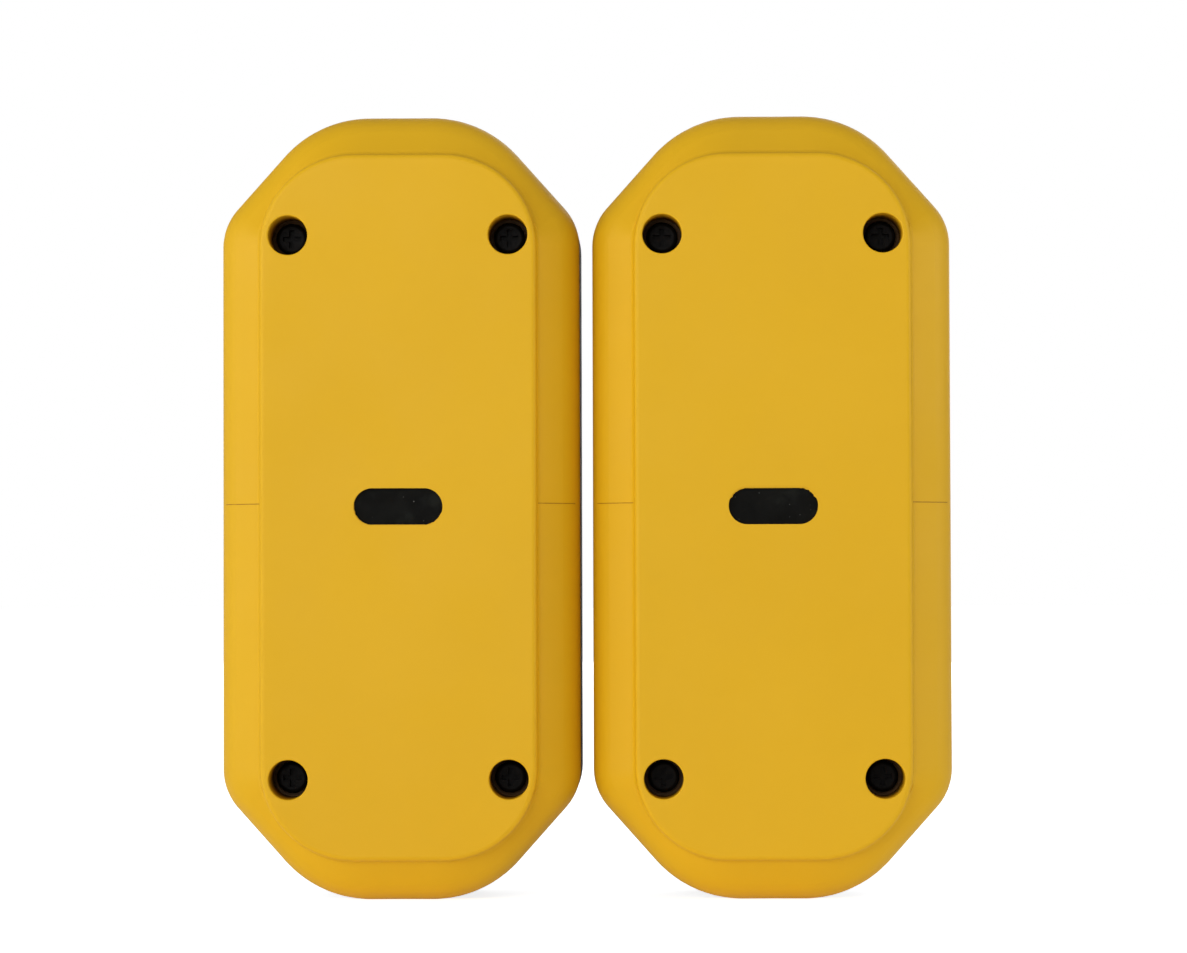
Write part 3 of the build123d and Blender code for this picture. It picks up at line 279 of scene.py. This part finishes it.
# ---------------------------------------------------------------------------------------------------------
# Faceplates
# Screen-printed polycarbonate, 0.5 mm, with a fine velvet face, stuck into the recess of each front case.
# The inks stand a few hundredths proud: white marks, a yellow border and the red jack mark.
# ---------------------------------------------------------------------------------------------------------
velvet = Finish("velvet_polycarbonate", (0.034, 0.037, 0.042), (0.028, 0.031, 0.035), 0.5, patch=18,
                grain=0.15, height=0.012, specular=0.45)
dust(velvet, 6.0, 0.06, 0.2, (0.14, 0.14, 0.13))
coat(velvet.done(), "tx_faceplate", "rx_faceplate")

INK_T = 0.03
FINE = 0.3
THIN = 0.35
FIRM = 0.4
inks = {}
for ink, tone, dim in (("white_ink", (0.72, 0.72, 0.70), (0.66, 0.66, 0.64)),
                       ("yellow_ink", (0.70, 0.40, 0.02), (0.64, 0.36, 0.018)),
                       ("red_ink", (0.50, 0.018, 0.012), (0.44, 0.015, 0.010)),
                       ("dark_ink", (0.020, 0.020, 0.022), (0.014, 0.014, 0.016))):
    inks[ink] = Finish(ink, tone, dim, 0.55, patch=3, grain=0.2, height=0.006, specular=0.35).done()


def screen(*names):
    """An empty print, its inks in that order. It is drawn as its reader sees it: +X right and +Z up."""
    sheet = bmesh.new()
    return sheet, [inks[name] for name in names]


def fill(sheet, faces, ink):
    for face in faces:
        face.material_index = ink


def dash(sheet, x, z, width, height, turn=0.0, ink=0):
    """A filled rectangle about (x, z), turned by that many degrees."""
    place = Matrix.Translation((x, 0, z)) @ Matrix.Rotation(math.radians(-turn), 4, "Y") @ \
        Matrix.Diagonal((width, 1, height, 1)) @ Matrix.Rotation(math.pi / 2, 4, "X")
    made = bmesh.ops.create_grid(sheet, x_segments=1, y_segments=1, size=0.5, matrix=place)
    fill(sheet, {f for v in made["verts"] for f in v.link_faces}, ink)


def dot(sheet, x, z, radius, ink=0):
    """A filled disc."""
    place = Matrix.Translation((x, 0, z)) @ Matrix.Rotation(math.pi / 2, 4, "X")
    made = bmesh.ops.create_circle(sheet, cap_ends=True, segments=32, radius=radius, matrix=place)
    fill(sheet, {f for v in made["verts"] for f in v.link_faces}, ink)


def arc(sheet, x, z, radius, width, start=0.0, sweep=360.0, ink=0):
    """A line bent round (x, z), from start degrees (0 is right, 90 is up) over sweep degrees."""
    ray = Vector((math.cos(math.radians(start)), 0, math.sin(math.radians(start))))
    ends = [sheet.verts.new(Vector((x, 0, z)) + ray * (radius + s * width / 2)) for s in (-1, 1)]
    edge = sheet.edges.new(ends)
    steps = max(6, round(abs(sweep) / 6))
    before = set(sheet.faces)
    bmesh.ops.spin(sheet, geom=[*ends, edge], cent=(x, 0, z), axis=(0, -1, 0), angle=math.radians(sweep),
                   steps=steps, use_merge=sweep == 360.0)
    fill(sheet, set(sheet.faces) - before, ink)


def shape(sheet, x, z, corners, ink=0):
    """A filled outline through those corners, each given from (x, z)."""
    face = sheet.faces.new([sheet.verts.new((x + right, 0, z + up)) for right, up in corners])
    face.material_index = ink


def border(sheet, width, height, radius, line, ink=0):
    """A rounded rectangle's outline about the origin: four corner arcs and four straight sides."""
    across, up = width / 2 - radius, height / 2 - radius
    for start, x, z in ((0, across, up), (90, -across, up), (180, -across, -up), (270, across, -up)):
        arc(sheet, x, z, radius, line, start=start, sweep=90, ink=ink)
    for side in (-1, 1):
        dash(sheet, 0, side * height / 2, 2 * across, line, ink=ink)
        dash(sheet, side * width / 2, 0, line, 2 * up, ink=ink)


def less_more(sheet, reach, z, arm):
    """A minus at the left and a plus at the right of a scale."""
    dash(sheet, -reach, z, arm, FIRM)
    dash(sheet, reach, z, arm, FIRM)
    dash(sheet, reach, z, FIRM, arm)


def power_mark(sheet, radius, line):
    """The on/off sign: a broken ring with a stroke in its gap."""
    arc(sheet, 0, 0, radius, line, start=120, sweep=300)
    dash(sheet, 0, radius * 0.75, line, radius * 1.1)


def pull(drawing, name, body, middle, surface_y):
    """Prints the drawing on a surface that faces +Y, about middle (x, z), and rides it on that body."""
    sheet, materials = drawing
    bmesh.ops.remove_doubles(sheet, verts=sheet.verts, dist=0.002)
    skins = bmesh.ops.extrude_face_region(sheet, geom=sheet.faces[:])
    lifted = [v for v in skins["geom"] if isinstance(v, bmesh.types.BMVert)]
    bmesh.ops.translate(sheet, verts=lifted, vec=(0, INK_T, 0))
    place = Matrix.Translation((middle[0], surface_y, middle[1])) @ Matrix.Diagonal((-MM, MM, MM, 1))
    bmesh.ops.transform(sheet, matrix=place, verts=sheet.verts)
    bmesh.ops.recalc_face_normals(sheet, faces=sheet.faces)
    mesh = bpy.data.meshes.new(name)
    sheet.to_mesh(mesh)
    sheet.free()
    for material in materials:
        mesh.materials.append(material)
    made = bpy.data.objects.new(name, mesh)
    bpy.context.scene.collection.objects.link(made)
    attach(made, body)
    return made


def middle_of(node):
    """The (x, z) middle of a CAD node."""
    low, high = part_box(node)
    return ((low.x + high.x) / 2, (low.z + high.z) / 2)


def size_of(node):
    """A CAD node's width and height in millimetres."""
    low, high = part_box(node)
    return (high.x - low.x) / MM, (high.z - low.z) / MM


def on_face(node, unit):
    """A CAD node's (x, z) middle from its face's middle, as its reader sees it, in millimetres."""
    face_x, face_z = middle_of(f"{unit}_faceplate")
    x, z = middle_of(node)
    return (face_x - x) / MM, (z - face_z) / MM


PLATE_R = 14.8
BORDER_INSET = 1.6
BORDER_LINE = 0.45
plate_w, plate_h = size_of("tx_faceplate")
plate_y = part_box("tx_faceplate")[1].y
border_size = (plate_w - 2 * BORDER_INSET, plate_h - 2 * BORDER_INSET, PLATE_R - BORDER_INSET, BORDER_LINE)

# Transmitter: the jack marks with arrows to the top end and a bolt between them, the lamp rings with their
# signs for live, signal and battery, the level scale, the power key's ring and a block of stripes.
JACK_MARK_Z = 50.5
JACK_RING_R = 2.35
JACK_DOT_R = 1.7
ARROW = ((-1.1, 3.4), (1.1, 3.4), (0.0, 5.0))
LARGE_BOLT = ((0.6, 3.7), (-1.6, -0.1), (-0.2, -0.1), (-0.9, -3.5), (1.7, 0.9), (0.2, 0.9))
SMALL_BOLT = ((0.5, 1.6), (-1.0, -0.2), (-0.1, -0.2), (-0.5, -1.7), (1.1, 0.4), (0.2, 0.4))
BATTERY_BARS = ((0.0, 0.65, 2.6, 0.26), (0.0, -0.65, 2.6, 0.26), (1.17, 0.0, 0.26, 1.04),
                (-1.17, 0.0, 0.26, 1.04), (1.6, 0.0, 0.4, 0.8), (-0.45, 0.0, 0.9, 0.6))
BATTERY_SHIFT = -0.2
LAMP_RING_R = 2.9
SIGN_DROP = 6.0
WAVE_COUNT = 3
WAVE_DROP = 1.4
WAVE_R = 0.8
WAVE_STEP = 0.85
LEVEL_TICKS = 5
LEVEL_TICK_PITCH = 3.5
LEVEL_TICK_RISE = 5.6
LEVEL_TICK_L = 1.0
LEVEL_TICK_GROWTH = 0.4
LEVEL_REACH = 9.6
LEVEL_ARM = 1.6
POWER_RING_R = 10.0
STRIPES = 6
STRIPE_TOP = -25.0
STRIPE_PITCH = 3.2
STRIPE_W = 20.0
STRIPE_STEP = 2.2
jack_x = on_face("tx_jack_red", "tx")[0]
lamp_z = on_face("tx_light_pipes", "tx")[1]
lamps_w, lamp_w = size_of("tx_light_pipes")
lamp_pitch = (lamps_w - lamp_w) / 2
sign_z = lamp_z - SIGN_DROP
level_z = on_face("tx_level_knob", "tx")[1]
power_z = on_face("tx_power_key", "tx")[1]

print_tx = screen("white_ink", "yellow_ink", "red_ink", "dark_ink")
sheet = print_tx[0]
border(sheet, *border_size, ink=1)
for side, ink in ((1, 2), (-1, 3)):
    arc(sheet, side * jack_x, JACK_MARK_Z, JACK_RING_R, THIN)
    dot(sheet, side * jack_x, JACK_MARK_Z, JACK_DOT_R, ink=ink)
    shape(sheet, side * jack_x, JACK_MARK_Z, ARROW)
shape(sheet, 0, JACK_MARK_Z, LARGE_BOLT)
for step in (-1, 0, 1):
    arc(sheet, step * lamp_pitch, lamp_z, LAMP_RING_R, FINE)
shape(sheet, -lamp_pitch, sign_z, SMALL_BOLT)
for k in range(WAVE_COUNT):
    arc(sheet, 0, sign_z - WAVE_DROP, WAVE_R + WAVE_STEP * k, THIN, start=45, sweep=90)
for x, z, width, height in BATTERY_BARS:
    dash(sheet, lamp_pitch + BATTERY_SHIFT + x, sign_z + z, width, height)
for k in range(LEVEL_TICKS):
    x = (k - (LEVEL_TICKS - 1) / 2) * LEVEL_TICK_PITCH
    dash(sheet, x, level_z + LEVEL_TICK_RISE, THIN, LEVEL_TICK_L + LEVEL_TICK_GROWTH * k)
less_more(sheet, LEVEL_REACH, level_z, LEVEL_ARM)
arc(sheet, 0, power_z, POWER_RING_R, FIRM)
for k in range(STRIPES):
    dash(sheet, 0, STRIPE_TOP - STRIPE_PITCH * k, STRIPE_W - STRIPE_STEP * k, THIN)
pull(print_tx, "tx_faceplate_print", "transmitter", middle_of("tx_faceplate"), plate_y)

# Receiver: the sensing end's arcs, a tick each side of every bar, the dial's ticks, and rings round the keys
# and the sounder, which has sound arcs at both sides.
SENSE_Z = 47.5
SENSE_ARCS = 3
SENSE_R = 2.0
SENSE_STEP = 1.9
SENSE_LINE = 0.5
SENSE_DOT_R = 0.7
SENSE_DOT_RISE = 0.2
BAR_COUNT = 7
BAR_END = 1.8
BAR_TICK_X = 14.6
BAR_TICK_L = 1.4
BAR_LONG_TICK_L = 2.4
BAR_LONG_EVERY = 3
DIAL_TICKS = 11
DIAL_SWEEP = 270.0
DIAL_TICK_R = 14.2
DIAL_TICK_L = 1.1
DIAL_LONG_TICK_L = 1.8
DIAL_LONG_EVERY = 5
DIAL_REACH = 14.0
DIAL_REACH_DROP = 12.4
DIAL_ARM = 1.5
KEY_RING_R = 7.6
SOUND_RING_R = 5.4
SOUND_ARC_R = 7.4
SOUND_ARC_STEP = 1.6
bars_z = on_face("rx_light_bars", "rx")[1]
bars_h = size_of("rx_light_bars")[1]
bar_low = bars_z - bars_h / 2 + BAR_END
bar_pitch = (bars_h - 2 * BAR_END) / (BAR_COUNT - 1)
dial_z = on_face("rx_sensitivity_dial", "rx")[1]
sound_z = on_face("rx_buzzer", "rx")[1]

print_rx = screen("white_ink", "yellow_ink", "dark_ink")
sheet = print_rx[0]
border(sheet, *border_size, ink=1)
for k in range(SENSE_ARCS):
    arc(sheet, 0, SENSE_Z, SENSE_R + SENSE_STEP * k, SENSE_LINE, start=40, sweep=100)
dot(sheet, 0, SENSE_Z + SENSE_DOT_RISE, SENSE_DOT_R)
for k in range(BAR_COUNT):
    tick = BAR_TICK_L if k % BAR_LONG_EVERY else BAR_LONG_TICK_L
    for side in (-1, 1):
        dash(sheet, side * BAR_TICK_X, bar_low + bar_pitch * k, tick, FINE)
for k in range(DIAL_TICKS):
    angle = 90 + DIAL_SWEEP / 2 - DIAL_SWEEP / (DIAL_TICKS - 1) * k
    ray = math.radians(angle)
    tick = DIAL_TICK_L if k % DIAL_LONG_EVERY else DIAL_LONG_TICK_L
    reach = DIAL_TICK_R + tick / 2
    dash(sheet, reach * math.cos(ray), dial_z + reach * math.sin(ray), tick, THIN, turn=angle)
less_more(sheet, DIAL_REACH, dial_z - DIAL_REACH_DROP, DIAL_ARM)
for key in ("rx_power_key", "rx_mute_key"):
    arc(sheet, *on_face(key, "rx"), KEY_RING_R, THIN)
arc(sheet, 0, sound_z, SOUND_RING_R, FINE)
for side in (0, 180):
    for k in range(2):
        arc(sheet, 0, sound_z, SOUND_ARC_R + SOUND_ARC_STEP * k, FIRM, start=side - 25, sweep=50)
pull(print_rx, "rx_faceplate_print", "receiver", middle_of("rx_faceplate"), plate_y)

# ---------------------------------------------------------------------------------------------------------
# Keys
# Satin silicone over the push switches, held behind the face by a flange: an orange power key on each unit
# and a grey mute key on the receiver. Each sign is printed on the key's crown.
# ---------------------------------------------------------------------------------------------------------
orange_rubber = Finish("orange_silicone", (0.72, 0.115, 0.010), (0.64, 0.095, 0.008), 0.6, patch=6, grain=0.2,
                       height=0.012, specular=0.35)
dust(orange_rubber, 2.5, 0.05, 0.2, (0.45, 0.22, 0.12))
coat(orange_rubber.done(), "tx_power_key", "rx_power_key")
grey_rubber = Finish("grey_silicone", (0.27, 0.28, 0.29), (0.23, 0.24, 0.25), 0.6, patch=6, grain=0.2,
                     height=0.012, specular=0.35)
coat(grey_rubber.done(), "rx_mute_key", "tx_level_knob")
POWER_SIGN_LINE = 0.17
SPEAKER = ((-2.6, -0.8), (-1.5, -0.8), (0.1, -2.1), (0.1, 2.1), (-1.5, 0.8), (-2.6, 0.8))
SPEAKER_FRONT = 0.1
SPEAKER_ARC_R = 1.3
SPEAKER_ARC_STEP = 1.0
for unit, sign_r in (("tx", 3.2), ("rx", 2.4)):
    sign = screen("white_ink")
    power_mark(sign[0], sign_r, sign_r * POWER_SIGN_LINE)
    pull(sign, f"{unit}_power_sign", f"{unit}_power", middle_of(f"{unit}_power_key"),
         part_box(f"{unit}_power_key")[1].y)
sign = screen("dark_ink")
shape(sign[0], 0, 0, SPEAKER)
for k in range(2):
    arc(sign[0], SPEAKER_FRONT, 0, SPEAKER_ARC_R + SPEAKER_ARC_STEP * k, FIRM, start=-40, sweep=80)
pull(sign, "rx_mute_sign", "rx_mute", middle_of("rx_mute_key"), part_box("rx_mute_key")[1].y)

# ---------------------------------------------------------------------------------------------------------
# Sensitivity dial
# A moulded knob with a finger bar, pressed on the potentiometer's shaft. A white line printed along the top
# half of the bar points at the scale.
# ---------------------------------------------------------------------------------------------------------
DIAL_LINE_L = 7.0
DIAL_LINE_W = 0.9
DIAL_LINE_Z = 5.6
dial_plastic = Finish("dial_plastic", (0.045, 0.045, 0.048), (0.036, 0.036, 0.039), 0.42, patch=6, grain=0.25,
                      height=0.01)
coat(dial_plastic.done(), "rx_sensitivity_dial")
pointer = screen("white_ink")
dash(pointer[0], 0, DIAL_LINE_Z, DIAL_LINE_W, DIAL_LINE_L)
pull(pointer, "rx_dial_pointer", "rx_dial", middle_of("rx_sensitivity_dial"),
     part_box("rx_sensitivity_dial")[1].y)

# ---------------------------------------------------------------------------------------------------------
# Hang-up magnets
# A ferrite bar under black epoxy lies behind the slot in each back, pressed to it by a moulded clip. The
# slot collects grey dust.
# ---------------------------------------------------------------------------------------------------------
FINE_DUST = (0.075, 0.078, 0.070)
COARSE_DUST = (0.14, 0.14, 0.13)
SMEAR_GREY = (0.017, 0.019, 0.016)
magnet_coat = Finish("magnet_epoxy", (0.0050, 0.0050, 0.0042), (0.0028, 0.0028, 0.0023), 0.6, patch=5,
                     grain=0.2, height=0.02, specular=0.06)
dust(magnet_coat, 0.9, 0.09, 0.35, FINE_DUST)
dust(magnet_coat, 1.7, 0.12, 0.25, COARSE_DUST)
smear = calc(magnet_coat.tree, "MULTIPLY",
             spread(magnet_coat.tree, magnet_coat.cloud(4.5, 4), 0.52, 0.75), 0.5)
magnet_coat.mark(smear, SMEAR_GREY)
coat(magnet_coat.done(), "tx_bar_magnet", "rx_bar_magnet")

# ---------------------------------------------------------------------------------------------------------
# Back shells
# Warm yellow ABS, satin and very smooth, dropped over the front case's lip. The melt fronts met at
# mid-height and left a hairline across each flank. It carries a few dark specks, and painted shade darkens
# the wells towards their bottoms.
# ---------------------------------------------------------------------------------------------------------
KNIT_RISE = 0.6
KNIT_HALF = 0.05
KNIT_FROM = 24.7
KNIT_TO = 31.2
KNIT_SINK = 0.03
KNIT_BROWN = (0.33, 0.135, 0.004)
SPECK_BROWN = (0.42, 0.20, 0.01)
HEAD_R = 2.8
WELL_R = 3.5
# Painted shade for the screw wells: a brown-black that deepens towards each well's bottom.
WELL_PAINTED_SHADE = (0.060, 0.017, 0.002)
SHADE_FROM = 2.0
SHADE_TO = 9.0
SHADE_MOST = 0.92
pad_y = cad_low.y
unit_x, mid_z = middle_of("rx_back_shell")
screws_w, screws_h = size_of("rx_case_screws")
yellow = Finish("yellow_abs", (0.730, 0.414, 0.0080), (0.712, 0.402, 0.0073), 0.5, patch=40, grain=0.35,
                height=0.0015, spread_by=0.05, specular=0.2)
tree = yellow.tree


def away(tree, value, place):
    """How far value is from place, either way."""
    return calc(tree, "ABSOLUTE", calc(tree, "SUBTRACT", value, place))


from_middle = away(tree, calc(tree, "ABSOLUTE", yellow.axes["X"]), unit_x)
on_flank = calc(tree, "MULTIPLY", calc(tree, "GREATER_THAN", from_middle, KNIT_FROM * MM),
                calc(tree, "LESS_THAN", from_middle, KNIT_TO * MM))
off_line = away(tree, yellow.axes["Z"], mid_z + KNIT_RISE * MM)
hairline = spread(tree, off_line, KNIT_HALF * MM, 2.6 * KNIT_HALF * MM, 1.0, 0.0)
strength = spread(tree, yellow.cloud(1.5, 2), 0.2, 0.5, 0.45, 0.8)
knit = calc(tree, "MULTIPLY", calc(tree, "MULTIPLY", on_flank, hairline), strength)
yellow.mark(knit, KNIT_BROWN)
yellow.raise_by(knit, -KNIT_SINK)
dust(yellow, 14.0, 0.09, 0.25, SPECK_BROWN)
# Painted shade: inside each screw well the colour darkens with depth, where the recess is shaded.
across = away(tree, from_middle, (screws_w / 2 - HEAD_R) * MM)
along = away(tree, away(tree, yellow.axes["Z"], mid_z), (screws_h / 2 - HEAD_R) * MM)
from_screw = calc(tree, "SQRT", calc(tree, "ADD", calc(tree, "MULTIPLY", across, across),
                                     calc(tree, "MULTIPLY", along, along)))
in_well = calc(tree, "LESS_THAN", from_screw, (WELL_R + 0.05) * MM)
shade_ramp = spread(tree, yellow.axes["Y"], pad_y + SHADE_FROM * MM, pad_y + SHADE_TO * MM, 0.0, SHADE_MOST)
yellow.mark(calc(tree, "MULTIPLY", in_well, shade_ramp), WELL_PAINTED_SHADE)
coat(yellow.done(), "tx_back_shell", "rx_back_shell")

# Flash that the mould left round the slots: a low ragged edge on one side of each.
SLOT_W = 15.8
SLOT_H = 6.6
FLASH_DEPTH = 0.18
FLASH_SET_BACK = 0.25
FLASH_OVERLAP = 0.02
FLASH_FADE = 12
FLASH_SEED = 11
for unit, side, from_turn, to_turn, reach in (("tx", -1, 165, 345, 0.24), ("rx", 1, 20, 160, 0.34)):
    flash = bmesh.new()
    for inner in (0, 1):
        turned = Matrix.Rotation(math.pi / 2, 4, "X")
        made = bmesh.ops.create_circle(flash, segments=180, radius=SLOT_H / 2, matrix=turned)["verts"]
        for v in made:
            turn = math.degrees(math.atan2(v.co.z, v.co.x)) % 360
            fade = max(0.0, min(1.0, (turn - from_turn) / FLASH_FADE, (to_turn - turn) / FLASH_FADE))
            ragged = 0.5 + 0.5 * noise.noise(Vector((turn * 0.11, side * FLASH_SEED, 0.0)))
            if inner:
                v.co *= 1 - (FLASH_OVERLAP + reach * fade * ragged) / (SLOT_H / 2)
            v.co.x += math.copysign((SLOT_W - SLOT_H) / 2, math.cos(math.radians(turn)))
    bmesh.ops.bridge_loops(flash, edges=flash.edges[:])
    skins = bmesh.ops.extrude_face_region(flash, geom=flash.faces[:])
    bmesh.ops.translate(flash, verts=[v for v in skins["geom"] if isinstance(v, bmesh.types.BMVert)],
                        vec=(0, FLASH_DEPTH, 0))
    place = Matrix.Translation((side * unit_x, pad_y + FLASH_SET_BACK * MM, mid_z)) @ \
        Matrix.Diagonal((MM, MM, MM, 1))
    bmesh.ops.transform(flash, matrix=place, verts=flash.verts)
    bmesh.ops.recalc_face_normals(flash, faces=flash.faces)
    mesh = bpy.data.meshes.new(f"{unit}_slot_flash")
    flash.to_mesh(mesh)
    flash.free()
    mesh.materials.append(yellow.material)
    ragged_edge = bpy.data.objects.new(f"{unit}_slot_flash", mesh)
    bpy.context.scene.collection.objects.link(ragged_edge)
    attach(ragged_edge, "transmitter" if unit == "tx" else "receiver")

# ---------------------------------------------------------------------------------------------------------
# Case screws
# Eight cross-recessed pan heads in black oxide, one at the bottom of each well. They cut their own thread
# in the front case's bosses and clamp the two halves.
# ---------------------------------------------------------------------------------------------------------
black_oxide = Finish("black_oxide", (0.0060, 0.0052, 0.0046), (0.0035, 0.0030, 0.0028), 0.42, patch=1.2,
                     grain=0.08, height=0.005, specular=0.06)
coat(black_oxide.done(), "tx_case_screws", "rx_case_screws")

# ---------------------------------------------------------------------------------------------------------
# Floor, light and camera
# A pale matt floor, lit from within so that no horizon shows, under a dim white room. Two broad softboxes
# light the backs from the front and the left, weaker ones from both sides and above, and one behind the
# fronts. The camera looks at the backs from 0.7 m through a long lens.
# ---------------------------------------------------------------------------------------------------------
FLOOR_HALF = 6.0
FLOOR_TONE = (0.95, 0.95, 0.95, 1.0)
FLOOR_GLOW = 0.18
FLOOR_WHITE = 0.80
WHITE = (1.0, 1.0, 1.0, 1.0)
floor_sheet = bmesh.new()
bmesh.ops.create_grid(floor_sheet, x_segments=1, y_segments=1, size=FLOOR_HALF)
floor_mesh = bpy.data.meshes.new("floor")
floor_sheet.to_mesh(floor_mesh)
floor_sheet.free()
floor = bpy.data.objects.new("floor", floor_mesh)
bpy.context.scene.collection.objects.link(floor)
paper = bpy.data.materials.new("floor_paper")
paper.use_nodes = True
paper_shader = paper.node_tree.nodes["Principled BSDF"]
paper_shader.inputs["Base Color"].default_value = FLOOR_TONE
paper_shader.inputs["Roughness"].default_value = 0.9
paper_shader.inputs["Specular IOR Level"].default_value = 0.1
paper_shader.inputs["Emission Color"].default_value = WHITE
seen_floor = wire(paper.node_tree, "LightPath").outputs["Is Camera Ray"]
glow = wire(paper.node_tree, "MapRange", {"Value": seen_floor, "To Min": FLOOR_GLOW, "To Max": FLOOR_WHITE})
paper.node_tree.links.new(glow.outputs[0], paper_shader.inputs["Emission Strength"])
floor_mesh.materials.append(paper)

ROOM_LIGHT = 0.27
BACKDROP = 1.0
room = bpy.data.worlds.new("room")
room.use_nodes = True
tree = room.node_tree
lighting = tree.nodes["Background"]
lighting.inputs["Strength"].default_value = ROOM_LIGHT
lighting.inputs["Color"].default_value = WHITE
backdrop = wire(tree, "Background", {"Color": WHITE, "Strength": BACKDROP})
seen = wire(tree, "LightPath").outputs["Is Camera Ray"]
both = wire(tree, "MixShader", {0: seen, 1: lighting.outputs[0], 2: backdrop.outputs[0]})
tree.links.new(both.outputs[0], tree.nodes["World Output"].inputs["Surface"])
bpy.context.scene.world = room
bpy.context.scene.view_settings.view_transform = "Standard"


def softbox(name, place, width, height, watts):
    """A rectangular diffuser that faces the object."""
    light = bpy.data.lights.new(name, "AREA")
    light.shape = "RECTANGLE"
    light.size = width
    light.size_y = height
    light.energy = watts
    lamp = bpy.data.objects.new(name, light)
    lamp.location = place
    aim = (cad_low + cad_high) / 2
    lamp.rotation_euler = (aim - Vector(place)).to_track_quat("-Z", "Y").to_euler()
    bpy.context.scene.collection.objects.link(lamp)


softbox("key_softbox", (-0.55, -1.80, 0.30), 1.2, 1.2, 16.6)
softbox("side_softbox", (-1.60, -1.00, 0.30), 1.2, 1.2, 12.4)
softbox("left_softbox", (-1.0, -0.18, 0.12), 0.5, 0.8, 1.6)
softbox("right_softbox", (1.0, -0.16, 0.12), 0.5, 0.8, 3.7)
softbox("top_softbox", (0.1, -0.35, 1.2), 1.0, 0.8, 1.0)
softbox("far_softbox", (0.35, 1.60, 0.60), 1.2, 1.2, 7.0)

CAMERA_PLACE = (0.0121, -0.6977, 0.0580)
TURN_LEFT = 0.898
TILT_UP = 1.449
ROLL = -0.17
camera_data = bpy.data.cameras.new("camera")
camera_data.sensor_width = 36.0
camera_data.lens = 117.1
camera_data.clip_start = 0.05
camera_data.clip_end = 30.0
camera = bpy.data.objects.new("camera", camera_data)
bpy.context.scene.collection.objects.link(camera)
aimed = Matrix.Rotation(math.radians(TURN_LEFT), 4, "Z") @ \
    Matrix.Rotation(math.radians(90 + TILT_UP), 4, "X") @ Matrix.Rotation(math.radians(ROLL), 4, "Z")
camera.rotation_euler = aimed.to_euler()
camera.location = CAMERA_PLACE
bpy.context.scene.camera = camera
